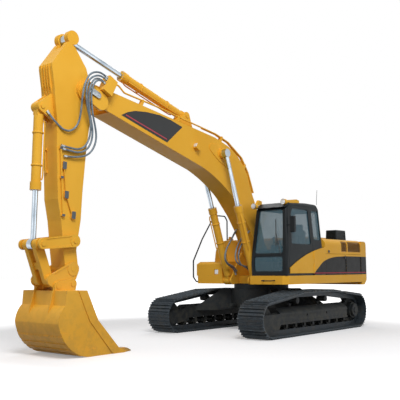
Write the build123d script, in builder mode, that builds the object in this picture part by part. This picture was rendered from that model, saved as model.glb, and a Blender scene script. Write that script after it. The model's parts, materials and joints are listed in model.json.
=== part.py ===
from build123d import *
import os
from math import asin, atan2, ceil, cos, degrees, hypot, radians, sin

# Crawler excavator of the 29 tonne class, parked with its bucket flat on the ground.
# Millimetres. +X runs forward to the bucket, +Y to the left (the cab's side), +Z up, ground at Z = 0.
# Places given as (ahead, height) are measured forward from the swing axis and up from the ground.

os.makedirs("parts", exist_ok=True)

# ---- driving dimensions ----

running = 0.3            # gap between faces that slide or seat on each other
panel_gap = 6.0          # gap round doors, lids and other moving panels

# undercarriage
gauge = 2590.0           # between the middles of the two tracks
shoe_width = 650.0
shoe_count = 49
lug_height = 36.0
shoe_plate = 16.0
chain_depth = 95.0
chain_strip = 46.0       # thickness of one row of links
chain_spread = 75.0      # from the track's middle to the middle of one row of links
idler_gap, idler_reach = 430.0, 400.0            # from the last roller; from the hub to the lugs' tips
sprocket_gap, sprocket_reach = 450.0, 420.0
carrier_ahead = (600.0, -650.0)
carrier_top = 968.0      # lug tips over the carrier rollers
carrier_radius = 70.0
roller_radius = 75.0
roller_count = 9
roller_span = 2960.0     # from the first bottom roller to the last
rail_low, rail_high = 312.0, 560.0
rail_inner, rail_outer = 140.0, 205.0            # either side of the track's middle
rail_plate = 22.0        # collars and yokes that hold the rollers and the idler
rail_tail = 20.0         # how far a rail runs back past its last roller
flange_low, flange_high = 272.0, 500.0           # lower and upper edges of a rail's outer face
flange_edge, flange_out = 38.0, 16.0
guard_low, guard_ahead = 150.0, 195.0            # plate outside the idler, past its hub
body_under, body_top = 470.0, 985.0
body_half = 700.0

lift_plate = 50.0        # thickness of towing and lifting lugs

# swing bearing and upper frame
bearing_radius = 660.0
house_low = 1110.0
deck_top = 1300.0
house_half = 1470.0
deck_front = 1120.0
right_front = 930.0
right_half = 1290.0      # half width ahead of the step on the right
step_front = 560.0
well_half = 475.0        # half width of the open well round the boom's foot
well_front = 560.0
tail_radius = 3080.0
weight_front = -2440.0   # where the side panels end and the counterweight begins
weight_low, weight_top = 1040.0, 2150.0
frame_plate = 40.0       # thickness of the two upright plates that carry the boom
frame_plate_half = 241.0 # inner face of those plates

# machinery housing
housing_front = -560.0
housing_top = 2170.0
housing_wall = 40.0
shoulder_radius = 150.0
door_top = 1810.0

# cab
cab_inner, cab_outer = 480.0, 1450.0
cab_rear, cab_front = -500.0, 1090.0
cab_floor, cab_top = 1300.3, 2980.0
cab_wall = 45.0
cab_belt = 1900.0        # height from which the sides lean in
cab_lean = 100.0         # how far the left side leans in up to the roof
cab_corner = 60.0        # rounding of the front posts

# boom
boom_foot = (270.0, 1880.0)
boom_length = 6150.0
boom_half = 235.0
nose_inner, nose_outer = 206.0, 300.0
fork_depth = 620.0       # from the stick's pin to the bottom of the boom's fork
pin_radius = 50.0
cyl_pin = 42.0           # radius of the pins at the cylinders' ends
cyl_ear = 55.0           # from the middle of a boom cylinder to the ears of its foot
foot_radius = 155.0
tip_radius = 190.0

# stick
stick_length = 3200.0
stick_angle = -85.8
stick_half = 190.0
bucket_pin_height = 1468.0

# bucket and its linkage
bucket_half = 616.0
rocker_length = 673.0
link_length = 647.0
side_gap = 6.0           # between plates of the linkage that pass each other
coupler_plate = 40.0
rocker_plate = 50.0
link_pin_radius = 45.0
pin_head = 12.0          # how far a pin's end stands out

# cylinders: bore wall radius, rod radius, gland radius
boom_tube, boom_rod = 86.0, 50.0
stick_tube, stick_rod = 93.0, 52.0
bucket_tube, bucket_rod = 83.0, 47.0

# ---- derived places ----

idler_ahead = roller_span / 2 + idler_gap
sprocket_ahead = -roller_span / 2 - sprocket_gap
rail_front, rail_rear = roller_span / 2, -roller_span / 2 - rail_tail

reach_ahead = 6755.0     # foremost point, on the bucket cylinder's side of the linkage
swing_x = (tail_radius - reach_ahead) / 2        # puts the middle of the whole length at X = 0
coupler_inner = stick_half + side_gap
coupler_outer = coupler_inner + coupler_plate
rocker_inner = coupler_outer + side_gap
rocker_outer = rocker_inner + rocker_plate

boom_pin_rise = bucket_pin_height + stick_length * sin(radians(-stick_angle)) - boom_foot[1]
boom_angle = degrees(asin(boom_pin_rise / boom_length))


def turned(origin, angle, along, across):
    # place reached by going along a line at the angle and then square to it, to its left
    a = radians(angle)
    return (origin[0] + along * cos(a) - across * sin(a), origin[1] + along * sin(a) + across * cos(a))


def span(a, b):
    return hypot(b[0] - a[0], b[1] - a[1])


def heading(a, b):
    return degrees(atan2(b[1] - a[1], b[0] - a[0]))


def meeting(a, b, from_a, from_b):
    # point at the two given distances from a and b, on the right when looking from a to b
    d = span(a, b)
    along = (from_a**2 - from_b**2 + d**2) / (2 * d)
    off = (from_a**2 - along**2) ** 0.5
    return turned(a, heading(a, b), along, -off)


stick_pin = turned(boom_foot, boom_angle, boom_length, 0)
bucket_pin = turned(stick_pin, stick_angle, stick_length, 0)
boom_cyl_foot = (805.0, 1185.0)
boom_cyl_eye = turned(boom_foot, boom_angle, 2375, 1215)
stick_cyl_foot = turned(boom_foot, boom_angle, 3620, 1370)
stick_cyl_eye = turned(stick_pin, stick_angle, -915, 350)
bucket_cyl_foot = turned(stick_pin, stick_angle, 470, 820)
rocker_pin = turned(stick_pin, stick_angle, 2720, 45)
link_pin = (bucket_pin[0] + 450, bucket_pin[1] - 188)
rod_pin = meeting(link_pin, rocker_pin, link_length, rocker_length)
boom_cyl_y = 375.0


def upright(y=0.0, at=(0.0, 0.0), angle=0.0):
    # plane that faces the machine's right: its X runs forward, turned up by the angle, its Y up
    a = radians(angle)
    return Plane(origin=(swing_x + at[0], y, at[1]), x_dir=(cos(a), 0, sin(a)), z_dir=(0, -1, 0))


def level(z, at=(0.0, 0.0)):
    # horizontal plane at the height z
    return Plane(origin=(swing_x + at[0], at[1], z), x_dir=(1, 0, 0), z_dir=(0, 0, 1))


def facing(x, at=(0.0, 0.0)):
    # plane across the machine that faces forward: its X runs to the left, its Y up
    return Plane(origin=(swing_x + x, at[0], at[1]), x_dir=(0, 1, 0), z_dir=(1, 0, 0))


def shape(*points):
    # filled outline through the points, closed back to the first
    Polygon(*points, align=None)


def write(piece, name):
    piece.part.label = name
    export_step(piece.part, f"parts/{name}.step")


def knuckle(spot, height, long, radius):
    # upright hinge barrel round the hinge's axis at spot, starting at the height
    with BuildPart(level(height, spot)) as piece:
        Cylinder(radius, long, align=(Align.CENTER, Align.CENTER, Align.MIN))
    return piece.part


def hinge_leaf(spot, heights, moving, radius=10.0):
    # barrels of one half of a hinge: the middle one moves, the two outer ones stay;
    # each half is also cut clear of the other half's barrels
    long = 60.0
    for height in heights:
        middle = (height, long)
        outer = ((height - long - running, long), (height + long + running, long))
        own, other = ((middle,), outer) if moving else (outer, (middle,))
        for low, size in other:
            add(knuckle(spot, low - running, size + 2 * running, radius + 1), mode=Mode.SUBTRACT)
        for low, size in own:
            add(knuckle(spot, low, size, radius))


# ---- tracks ----

lug_tip = lug_height + shoe_plate


def loop_outline(inset):
    # filled outline of the track loop, at the given depth inside the lugs' tips
    with BuildSketch() as loop:
        with Locations((idler_ahead, idler_reach)):
            Circle(idler_reach - inset)
        with Locations((sprocket_ahead, sprocket_reach)):
            Circle(sprocket_reach - inset)
        roll = carrier_radius + chain_depth + lug_tip
        with Locations(*[(x, carrier_top - roll) for x in carrier_ahead]):
            Circle(roll - inset)
        make_hull()
    return loop.sketch


def shoe_ring():
    # outline of all shoes in a row round the loop: three lugs a shoe, a notch between shoes
    path = loop_outline(lug_tip).face().outer_wire()
    half = path.length / shoe_count / 2
    notch = shoe_plate * 0.4
    profile = (                       # share of the half pitch, height over the chain
        (-0.97, notch), (-0.90, shoe_plate), (-0.76, lug_tip), (-0.62, shoe_plate),
        (-0.13, shoe_plate), (0.0, lug_tip), (0.13, shoe_plate),
        (0.62, shoe_plate), (0.76, lug_tip), (0.90, shoe_plate), (0.97, notch),
    )
    middle = path.center()
    points = []
    for i in range(shoe_count):
        spot = path.position_at((i + 0.5) / shoe_count)
        ahead = path.tangent_at((i + 0.5) / shoe_count)
        out = Vector(ahead.Y, -ahead.X)
        if out.dot(spot - middle) < 0:
            out = -out
        points += [tuple(spot + ahead * (a * half) + out * h)[:2] for a, h in profile]
    return points


def mirror_sides(name, build):
    for side, sign in (("left", 1), ("right", -1)):
        write(build(sign * gauge / 2, sign), f"{name}_{side}")


def track(middle, sign):
    with BuildPart() as piece:
        with BuildSketch(upright(middle)):
            shape(*shoe_ring())
            add(loop_outline(lug_tip - 0.5), mode=Mode.SUBTRACT)
        extrude(amount=shoe_width / 2, both=True)
        for offset in (-chain_spread, chain_spread):
            with BuildSketch(upright(middle + offset)):
                add(loop_outline(lug_tip - 1))
                add(loop_outline(lug_tip + chain_depth), mode=Mode.SUBTRACT)
            extrude(amount=chain_strip / 2, both=True)
    return piece


mirror_sides("track", track)

# ---- idlers, sprockets with their final drives, rollers ----

chain_inner = lug_tip + chain_depth
rail_middles = (gauge / 2, -gauge / 2)
groove = chain_spread - chain_strip / 2 - 4      # half width free between the rows of links
tread = chain_spread + chain_strip / 2 + 6
hub_half = rail_inner - rail_plate - running


def wheel(piece_planes, profile):
    # like wheels in one piece: the profile (radius, half width) pairs stack as centred discs
    with BuildPart() as piece:
        for plane in piece_planes:
            for radius, half in profile:
                with BuildSketch(plane):
                    Circle(radius)
                extrude(amount=half, both=True)
    return piece


idler_rim = idler_reach - chain_inner - running
idlers = wheel(
    [upright(y, (idler_ahead, idler_reach)) for y in rail_middles],
    ((idler_rim, tread), (idler_rim + 45, groove), (95, hub_half)),
)
write(idlers, "idlers")

roller_height = chain_inner + running + roller_radius
roller_step = roller_span / (roller_count - 1)
roller_places = [-roller_span / 2 + i * roller_step for i in range(roller_count)]
rollers = wheel(
    [upright(y, (x, roller_height)) for y in rail_middles for x in roller_places],
    ((roller_radius, tread), (roller_radius * 0.5, hub_half)),
)
write(rollers, "bottom_rollers")

carrier_height = carrier_top - chain_inner - carrier_radius - running
carriers = wheel(
    [upright(y, (x, carrier_height)) for y in rail_middles for x in carrier_ahead],
    ((carrier_radius, tread), (carrier_radius * 0.55, tread + 5)),
)
write(carriers, "carrier_rollers")

sprocket_teeth = 21
sprocket_root = sprocket_reach - chain_inner - running
drive_radius = 195.0
drive_cover = 150.0


def tooth_ring(root, tip, teeth):
    step = 360 / teeth
    table = ((-0.36, root), (-0.17, tip), (0.17, tip), (0.36, root))   # share of the step, radius
    points = []
    for i in range(teeth):
        for share, radius in table:
            a = radians((i + share) * step)
            points.append((radius * cos(a), radius * sin(a)))
    return points


with BuildPart() as sprockets:
    for y in rail_middles:
        hub = (sprocket_ahead, sprocket_reach)
        outward = 1 if y > 0 else -1
        with BuildSketch(upright(y, hub)):
            shape(*tooth_ring(sprocket_root, sprocket_root + 55, sprocket_teeth))
        extrude(amount=groove - 6, both=True)
        # final drive: a stepped case that stands out past the sprocket
        for radius, inner, outer in ((drive_radius, -100, 150), (drive_cover, 150, 215), (70, 215, 232)):
            low, high = sorted((outward * inner, outward * outer))
            with BuildSketch(upright(y + high, hub)):
                Circle(radius)
            extrude(amount=high - low)
write(sprockets, "sprockets")

# ---- track frames ----


def layer(middle, sign, inner, outer):
    # plane and thickness of a layer between two distances outward from the middle of a track
    low, high = sorted((sign * inner, sign * outer))
    return upright(middle + high), high - low


def track_frame(middle, sign):
    lip = rail_outer + flange_out
    roof = (                          # outward from the track's middle, height
        (-rail_inner, rail_low), (-rail_inner, rail_high + 20), (-60, rail_high + 60),
        (70, rail_high + 60), (rail_outer, flange_high + 20),
        (rail_outer, flange_high), (lip, flange_high), (lip, flange_high - flange_edge),
        (rail_outer, flange_high - flange_edge), (rail_outer, flange_low + flange_edge),
        (lip, flange_low + flange_edge), (lip, flange_low), (rail_outer - rail_plate, flange_low),
        (rail_outer - rail_plate, rail_low + 60), (rail_inner + 20, rail_low + 60),
        (rail_inner + 20, rail_low),
    )
    with BuildPart() as piece:
        with BuildSketch(facing(rail_rear, (middle, 0))):
            shape(*[(sign * y, z) for y, z in roof])
        extrude(amount=rail_front - rail_rear)
        # yoke plates that hold the idler's hub
        for y in (middle + rail_inner, middle - rail_inner + rail_plate):
            with BuildSketch(upright(y)):
                shape((rail_front - 120, rail_low - 60), (idler_ahead + 60, rail_low - 130),
                      (idler_ahead + 150, idler_reach - 60), (idler_ahead + 150, idler_reach + 60),
                      (idler_ahead + 40, idler_reach + 110), (rail_front - 120, rail_high - 30))
            extrude(amount=rail_plate)
        # plate outside the idler and the boss that steadies it
        plane, thick = layer(middle, sign, rail_outer, rail_outer + flange_out)
        guard_front = idler_ahead + guard_ahead
        with BuildSketch(plane):
            shape((rail_front - 60, flange_high), (guard_front - 30, flange_high),
                  (guard_front, flange_high - 60), (guard_front, guard_low + 80),
                  (guard_front - 70, guard_low), (rail_front + 80, guard_low), (rail_front, flange_low),
                  (rail_front - 60, flange_low))
        extrude(amount=thick)
        plane, thick = layer(middle, sign, rail_inner, rail_outer + 1)
        with BuildSketch(plane):
            with Locations((idler_ahead, idler_reach)):
                Circle(34)
        extrude(amount=thick)
        # ring plate that the final drive is bolted to
        plane, thick = layer(middle, -sign, 100 + running, 135 + running)
        with BuildSketch(plane):
            with Locations((sprocket_ahead, sprocket_reach)):
                Circle(drive_radius + 25)
            with Locations((rail_rear, (rail_low + rail_high) / 2)):
                Rectangle(60, rail_high - rail_low)
            make_hull()
        extrude(amount=thick)
        # carrier roller posts
        plane, thick = layer(middle, -sign, tread + 5 + running, tread + 25)
        with BuildSketch(plane):
            with Locations(*[(x, (rail_high + carrier_height + 20) / 2) for x in carrier_ahead]):
                Rectangle(80, carrier_height - rail_high + 60)
        extrude(amount=thick)
        # collars that hold the bottom rollers' shafts
        for y in (middle + rail_inner, middle - rail_inner + rail_plate):
            with BuildSketch(upright(y)):
                for x in roller_places:
                    with Locations((x, (roller_height - 40 + rail_low + 5) / 2)):
                        Rectangle(80, rail_low + 45 - roller_height)
            extrude(amount=rail_plate)
        # two greasing holes in the outer face
        plane, thick = layer(middle, sign, rail_outer - rail_plate, rail_outer)
        with BuildSketch(plane):
            with Locations(*[(rail_rear + share * (rail_front - rail_rear), flange_high - 70)
                             for share in (1 / 3, 0.63)]):
                Circle(27)
        extrude(amount=thick, mode=Mode.SUBTRACT)
    return piece


mirror_sides("track_frame", track_frame)

# ---- car body and swing bearing ----

tow_spread, tow_ahead, tow_height = 285.0, 830.0, 595.0
tow_hole, tow_lug = 35.0, 75.0
arm_width = 630.0
arm_spread = 795.0       # from the middle to where an arm meets its rail
arm_end = gauge / 2 - rail_inner

with BuildPart() as car_body:
    with BuildSketch(level(body_under)):
        Circle(body_half + 30)
        for along in (1, -1):
            for side in (1, -1):
                shape((along * 150, side * 200), (along * (arm_spread + arm_width / 2), side * arm_end),
                      (along * (arm_spread - arm_width / 2), side * arm_end), (along * 300, side * 560))
    extrude(amount=body_top - body_under)
    with BuildSketch(facing(-arm_spread - arm_width)):
        shape((-arm_end, rail_low + 15), (-arm_end, rail_high), (-body_half, body_top),
              (body_half, body_top), (arm_end, rail_high), (arm_end, rail_low + 15),
              (body_half, body_under + 40), (-body_half, body_under + 40))
    extrude(amount=2 * (arm_spread + arm_width), mode=Mode.INTERSECT)
    # towing eyes, front and rear: flat lugs whose pins go in from below
    for side in (1, -1):
        for y in (tow_spread, -tow_spread):
            with BuildSketch(level(tow_height, (side * tow_ahead, y))):
                Circle(tow_lug)
                with Locations((-side * 2 * tow_lug, 0)):
                    Rectangle(120, 2 * tow_lug)
                make_hull()
                Circle(tow_hole, mode=Mode.SUBTRACT)
            extrude(amount=lift_plate)
write(car_body, "car_body")

with BuildPart() as bearing:
    with BuildSketch(level(body_top)):
        Circle(bearing_radius)
        Circle(bearing_radius - 160, mode=Mode.SUBTRACT)
    extrude(amount=house_low - running - body_top)
write(bearing, "swing_bearing")

# ---- upper frame ----

engine_floor = deck_top + 90
eye_radius = 95.0

with BuildPart() as upper_frame:
    with BuildSketch(level(house_low)):
        shape((weight_front, -house_half), (step_front, -house_half), (step_front, -right_half),
              (right_front - 60, -right_half), (right_front, -right_half + 60),
              (right_front, -well_half), (well_front, -well_half), (well_front, well_half),
              (deck_front, well_half), (deck_front, house_half - 130), (deck_front - 90, house_half),
              (weight_front, house_half))
    extrude(amount=deck_top - house_low)
    # upright plates that carry the boom's foot and the boom cylinders
    for y in (frame_plate_half + frame_plate, -frame_plate_half):
        with BuildSketch(upright(y)):
            shape((-1900, house_low), (-1900, engine_floor), (-800, engine_floor),
                  (boom_foot[0] - 150, boom_foot[1]), (boom_foot[0] + 150, boom_foot[1]),
                  (boom_cyl_foot[0] + 60, boom_cyl_foot[1] + 70), (boom_cyl_foot[0], house_low))
            with Locations(boom_foot):
                Circle(foot_radius)
            with Locations(boom_cyl_foot):
                Circle(eye_radius)
        extrude(amount=frame_plate)
    # outer ears of the boom cylinders' feet, and all the pins
    for y in (boom_cyl_y + cyl_ear + 40, -boom_cyl_y - cyl_ear):
        with BuildSketch(upright(y)):
            with Locations(boom_cyl_foot):
                Circle(eye_radius)
            with Locations((well_front - 20, (house_low + deck_top) / 2)):
                Rectangle(40, deck_top - house_low)
            make_hull()
        extrude(amount=40)
    with BuildSketch(upright(0)):
        with Locations(boom_foot):
            Circle(pin_radius)
    extrude(amount=frame_plate_half + frame_plate + 25, both=True)
    for y in (boom_cyl_y + cyl_ear + 55, -frame_plate_half):
        with BuildSketch(upright(y, boom_cyl_foot)):
            Circle(cyl_pin)
        extrude(amount=boom_cyl_y + cyl_ear + 55 - frame_plate_half)
write(upper_frame, "upper_frame")

lug_ahead, lug_spread = -2700.0, 700.0
lift_hole = 30.0

with BuildPart() as counterweight:
    with BuildSketch(level(weight_low)):
        Circle(tail_radius)
        with Locations(((weight_front - tail_radius) / 2, 0)):
            Rectangle(tail_radius + weight_front, 2 * house_half, mode=Mode.INTERSECT)
    extrude(amount=weight_top - weight_low)
    rear = counterweight.edges().filter_by(GeomType.CIRCLE).group_by(Axis.Z)
    fillet(rear[-1], 90)
    rear = counterweight.edges().filter_by(GeomType.CIRCLE).group_by(Axis.Z)
    chamfer(rear[0], 110)
    # lifting lugs
    for y in (lug_spread + lift_plate, -lug_spread):
        with BuildSketch(upright(y, (lug_ahead, weight_top))):
            with Locations((0, 55)):
                Circle(60)
            with Locations((0, -10)):
                Rectangle(200, 20)
            make_hull()
            with Locations((0, 55)):
                Circle(lift_hole, mode=Mode.SUBTRACT)
        extrude(amount=lift_plate)
write(counterweight, "counterweight")

with BuildPart() as engine:
    with BuildSketch(level(engine_floor)):
        with Locations((-1750, -100)):
            Rectangle(950, 1250)
    extrude(amount=560)
write(engine, "engine")

# ---- machinery housing: top cover, doors and hood ----

hood_front, hood_rear = -1230.0, -2360.0
hood_left, hood_right = 620.0, -760.0
hood_rise = 95.0
hood_rim = 60.0          # how far the hood overlaps the hole under it
door_split = -1610.0
door_thick = 35.0
post_width, post_depth = 30.0, 110.0             # upright post between the doors
cover_rear = weight_front + running
front_post = housing_front - housing_wall
rear_post = cover_rear + housing_wall
split_front, split_rear = door_split + post_width / 2, door_split - post_width / 2
door_table = (                        # name, side, front, rear, hinge
    ("left_front_door", 1, front_post, split_front, split_front),
    ("left_rear_door", 1, split_rear, rear_post, rear_post),
    ("right_front_door", -1, front_post, split_front, front_post),
    ("right_rear_door", -1, split_rear, rear_post, rear_post),
)
hinge_out = 3.0          # hinge axes stand this far outside the doors' faces
hinge_heights = (deck_top + 130, door_top - 190)
grille_low, grille_high = door_top + 55, housing_top - 50
grille_pitch, grille_slot = 30.0, 17.0
grille_sunk = 9.0        # how far the grilles' faces lie inside the cover's
grille_table = (                      # side, front, rear
    (1, -1365, -1660), (1, -1700, -2400), (-1, -1700, -2400),
)


def housing_section(inset):
    # filled cross-section of the housing, at the given depth inside its skin
    with BuildSketch() as section:
        with Locations((0, (deck_top + housing_top - inset) / 2)):
            Rectangle(2 * (house_half - inset), housing_top - inset - deck_top)
        fillet(section.vertices().group_by(Axis.Y)[-1], shoulder_radius - inset)
    return section.sketch


def side_opening(side, front, rear, clear):
    # block that fills a grille's opening in one side of the cover, with the given gap all round
    with BuildPart() as block:
        with BuildSketch(upright(max(0, side) * 2 * house_half)):
            with Locations(((front + rear) / 2, (grille_low + grille_high) / 2)):
                Rectangle(front - rear - 2 * clear, grille_high - grille_low - 2 * clear)
        extrude(amount=2 * house_half)
    return block.part


with BuildPart() as top_cover:
    with BuildSketch(facing(cover_rear)):
        add(housing_section(0))
        add(housing_section(housing_wall), mode=Mode.SUBTRACT)
    extrude(amount=housing_front - cover_rear)
    with BuildSketch(level(deck_top)):
        with Locations(((weight_front + housing_front) / 2, 0)):
            Rectangle(housing_front - weight_front, 2 * house_half)
    extrude(amount=door_top - deck_top, mode=Mode.SUBTRACT)
    with BuildSketch(level(housing_top - hood_rim)):
        with Locations(((hood_front + hood_rear) / 2, (hood_left + hood_right) / 2)):
            Rectangle(hood_front - hood_rear - 2 * hood_rim, hood_left - hood_right - 2 * hood_rim)
    extrude(amount=2 * hood_rim, mode=Mode.SUBTRACT)
    for side, front, rear in grille_table:
        add(side_opening(side, front, rear, 0), mode=Mode.SUBTRACT)
    # walls behind the cab and tank, and beside the counterweight
    for x in (housing_front - housing_wall, cover_rear):
        with BuildSketch(facing(x)):
            with Locations((0, (deck_top + housing_top - housing_wall) / 2)):
                Rectangle(2 * (house_half - 1), housing_top - 2 * housing_wall - deck_top)
                Rectangle(2 * (house_half - housing_wall), housing_top - housing_wall - deck_top)
            add(housing_section(0), mode=Mode.INTERSECT)
        extrude(amount=housing_wall)
    # notch over the plates that carry the boom
    with BuildSketch(facing(housing_front - housing_wall - 10)):
        with Locations((0, deck_top)):
            Rectangle(2 * (frame_plate_half + frame_plate + 10), 800)
    extrude(amount=housing_wall + 20, mode=Mode.SUBTRACT)
    # posts between the doors
    with BuildSketch(facing(split_rear)):
        for side in (1, -1):
            with Locations((side * (house_half - post_depth / 2), (deck_top + door_top) / 2)):
                Rectangle(post_depth, door_top - deck_top)
    extrude(amount=post_width)
    for name, side, front, rear, hinge in door_table:
        hinge_leaf((hinge, side * (house_half + hinge_out)), hinge_heights, moving=False)
write(top_cover, "top_cover")

for name, side, front, rear, hinge in door_table:
    with BuildPart() as door:
        with BuildSketch(upright(house_half if side > 0 else -house_half + door_thick)):
            with Locations(((front + rear) / 2, (deck_top + door_top) / 2)):
                Rectangle(front - rear - panel_gap, door_top - deck_top - 2 * panel_gap)
        extrude(amount=door_thick)
        hinge_leaf((hinge, side * (house_half + hinge_out)), hinge_heights, moving=True)
    write(door, name)

with BuildPart() as hood:
    with BuildSketch(level(housing_top + running)):
        with Locations(((hood_front + hood_rear) / 2, (hood_left + hood_right) / 2)):
            Rectangle(hood_front - hood_rear, hood_left - hood_right)
    extrude(amount=hood_rise, taper=12)
    offset(amount=-25, openings=hood.faces().sort_by(Axis.Z)[0])
write(hood, "engine_hood")

# air intake box on top of the housing, and the louvred panels in its sides
intake_front, intake_rear = -1690.0, -2220.0
intake_inner, intake_outer = 850.0, 1170.0
intake_rise = 265.0
louvre_count, louvre_pitch, louvre_slot = 6, 34.0, 16.0

with BuildPart() as louvre_box:
    with BuildSketch(level(housing_top)):
        with Locations(((intake_front + intake_rear) / 2, (intake_inner + intake_outer) / 2)):
            RectangleRounded(intake_front - intake_rear, intake_outer - intake_inner, 30)
    extrude(amount=intake_rise, taper=3)
    fillet(louvre_box.faces().sort_by(Axis.Z)[-1].edges(), 18)
    with BuildSketch(upright(intake_outer + 20)):
        for i in range(louvre_count):
            with Locations(((intake_front + intake_rear) / 2, housing_top + 45 + i * louvre_pitch)):
                Rectangle(intake_front - intake_rear - 90, louvre_slot)
    extrude(amount=50, mode=Mode.SUBTRACT)
    with BuildSketch(facing(intake_front - 30)):
        for i in range(louvre_count):
            with Locations(((intake_inner + intake_outer) / 2, housing_top + 45 + i * louvre_pitch)):
                Rectangle(intake_outer - intake_inner - 90, louvre_slot)
    extrude(amount=60, mode=Mode.SUBTRACT)
    for side, front, rear in grille_table:
        with BuildPart(mode=Mode.PRIVATE) as panel:
            with BuildSketch(facing(rear)):
                add(housing_section(grille_sunk))
                add(housing_section(housing_wall - 6), mode=Mode.SUBTRACT)
            extrude(amount=front - rear)
            add(side_opening(side, front, rear, running), mode=Mode.INTERSECT)
            with BuildSketch(upright(house_half)):
                for i in range(int((grille_high - grille_low) / grille_pitch) - 1):
                    with Locations(((front + rear) / 2, grille_low + (i + 1) * grille_pitch)):
                        Rectangle(front - rear - 50, grille_slot)
            extrude(amount=2 * house_half, mode=Mode.SUBTRACT)
        add(panel.part)
write(louvre_box, "louvre_box")

# ---- tank and tool box on the right ----

tank_inner = well_half + 10
tank_front, tank_top = 330.0, 2170.0
tank_outer, tank_shoulder = 1205.0, 800.0        # the top is flat as far out as the shoulder
cap_ahead, cap_out = 100.0, 850.0

with BuildPart() as tank:
    with BuildSketch(facing(housing_front + running)):
        with BuildLine():
            ThreePointArc((-tank_shoulder, tank_top), (-tank_shoulder - 265, tank_top - 95),
                          (-tank_outer + 25, tank_top - 330))
            Polyline((-tank_outer + 25, tank_top - 330), (-tank_outer, tank_top - 520),
                     (-tank_outer, deck_top), (-tank_inner, deck_top), (-tank_inner, tank_top - 60),
                     (-tank_inner - 60, tank_top), (-tank_shoulder, tank_top))
        make_face()
    extrude(amount=tank_front - housing_front - running)
    front = tank.faces().sort_by(Axis.X)[-1]
    fillet(front.edges().filter_by(lambda e: e.center().Z > deck_top + 10), 45)
    # filler neck and its cap
    for radius, rise in ((72, 45), (48, 95)):
        with BuildSketch(level(tank_top - 5, (cap_ahead, -cap_out))):
            Circle(radius)
        extrude(amount=rise + 5)
write(tank, "fuel_tank")

box_seam, box_top = 1480.0, 1634.0               # under the lid, and its top
box_wall, lid_wall = 25.0, 20.0
box_rear, box_front = tank_front + running, right_front - running
box_outer = right_half - 20
lid_slope = 60.0         # bevel along the lid's front and outer edges
lamp_at, lamp_size, lamp_sunk = (-660.0, 1390.0), 120.0, 18.0

with BuildPart() as tool_box:
    with BuildSketch(level(deck_top)):
        with Locations(((box_rear + box_front) / 2, -(tank_inner + box_outer) / 2)):
            Rectangle(box_front - box_rear, box_outer - tank_inner)
    extrude(amount=box_seam - deck_top)
    offset(amount=-box_wall, openings=tool_box.faces().sort_by(Axis.Z)[-1])
    with BuildSketch(facing(box_front - lamp_sunk, lamp_at)):
        Rectangle(lamp_size, lamp_size)
    extrude(amount=lamp_sunk, mode=Mode.SUBTRACT)
write(tool_box, "tool_box")

with BuildPart() as tool_lid:
    with BuildSketch(level(box_seam + running)):
        with Locations(((box_rear + box_front + panel_gap) / 2, -(tank_inner + box_outer) / 2)):
            Rectangle(box_front - box_rear - panel_gap, box_outer - tank_inner)
    extrude(amount=box_top - box_seam)
    upper = tool_lid.faces().sort_by(Axis.Z)[-1].edges()
    chamfer([upper.sort_by(Axis.X)[-1], upper.sort_by(Axis.Y)[0]], lid_slope)
    offset(amount=-lid_wall, openings=tool_lid.faces().sort_by(Axis.Z)[0])
write(tool_lid, "tool_box_lid")

# handrail beside the tool box and the step
rail_out, rail_tube = 1420.0, 17.0
rail_route = (                        # ahead, height
    (step_front + running, 1150), (770, 1150), (884, 1260), (884, 1660), (530, 2225), (110, 2750),
    (-110, 2850),
    (-400, 2850), (-500, 2740), (-500, deck_top + running),
)
with BuildPart() as handrail:
    with BuildLine(upright(-rail_out)) as route:
        FilletPolyline(*rail_route, radius=60)
    with BuildSketch(Plane(route.line @ 0, z_dir=route.line % 0)):
        Circle(rail_tube)
    sweep(path=route.line)
write(handrail, "handrail")

# ---- cab ----

door_rear, door_front = -40.0, 985.0
door_sill, door_head = cab_floor + 45, cab_top - 90
door_outline = (
    (door_rear, door_sill), (door_front, door_sill), (door_front + 10, 1640), (door_front - 20, 1790),
    (door_front - 145, door_head - 130), (door_front - 260, door_head), (door_rear, door_head),
)
arc_proud = house_half - cab_outer               # the yellow arc stands out as far as the housing
door_hinge = (door_rear, house_half + 6)
door_hinge_heights = (1440.0, 1740.0)
hinge_barrel = 14.0
window_corner, window_belt = 50.0, 2010.0
door_rail = 72.0         # width of the door's frame round its window
window_head = door_head - 80
rear_quarter = ((-110, 2120), (-110, window_head), (-430, window_head), (-430, 2120))
right_window = ((-400, 1900), (890, 1900), (790, window_head - 20), (-400, window_head - 20))
windscreen = ((590, 1800), (1335, 1800), (1270, window_head - 30), (650, window_head - 30))
lower_screen = ((590, 1400), (1335, 1400), (1335, 1730), (590, 1730))
rear_window = ((600, 2050), (1330, 2050), (1270, window_head - 30), (650, window_head - 30))


def cab_volume(inset):
    # outside of the cab, or the space inside it at the given depth
    with BuildPart() as volume:
        with BuildSketch(upright(cab_outer - inset)) as side:
            shape((cab_rear, cab_floor), (cab_front, cab_floor), (cab_front + 10, 1620),
                  (cab_front - 10, 1790), (cab_front - 150, cab_top - 180), (cab_front - 290, cab_top - 40),
                  (0, cab_top), (cab_rear + 90, cab_top - 10), (cab_rear, cab_top - 120))
            fillet(side.vertices().filter_by(lambda v: v.Y > cab_floor + 200), 100)
            offset(amount=-inset, kind=Kind.INTERSECTION)
        extrude(amount=cab_outer - cab_inner - 2 * inset)
        with BuildSketch(facing(cab_rear - 10)) as front:
            shape((cab_inner, cab_floor - 10), (cab_outer, cab_floor - 10), (cab_outer, cab_belt),
                  (cab_outer - cab_lean, cab_top + 1), (cab_inner + 0.6 * cab_lean, cab_top + 1),
                  (cab_inner, cab_belt))
            fillet(front.vertices().group_by(Axis.Y)[-1], 90)
            fillet(front.vertices().filter_by(lambda v: abs(v.Y - cab_belt) < 1), 400)
            offset(amount=-inset, kind=Kind.INTERSECTION)
        extrude(amount=cab_front - cab_rear + 60, mode=Mode.INTERSECT)
        fillet(volume.edges().filter_by(lambda e: on_front_post(e, inset)), cab_corner - inset)
    return volume.part


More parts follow.
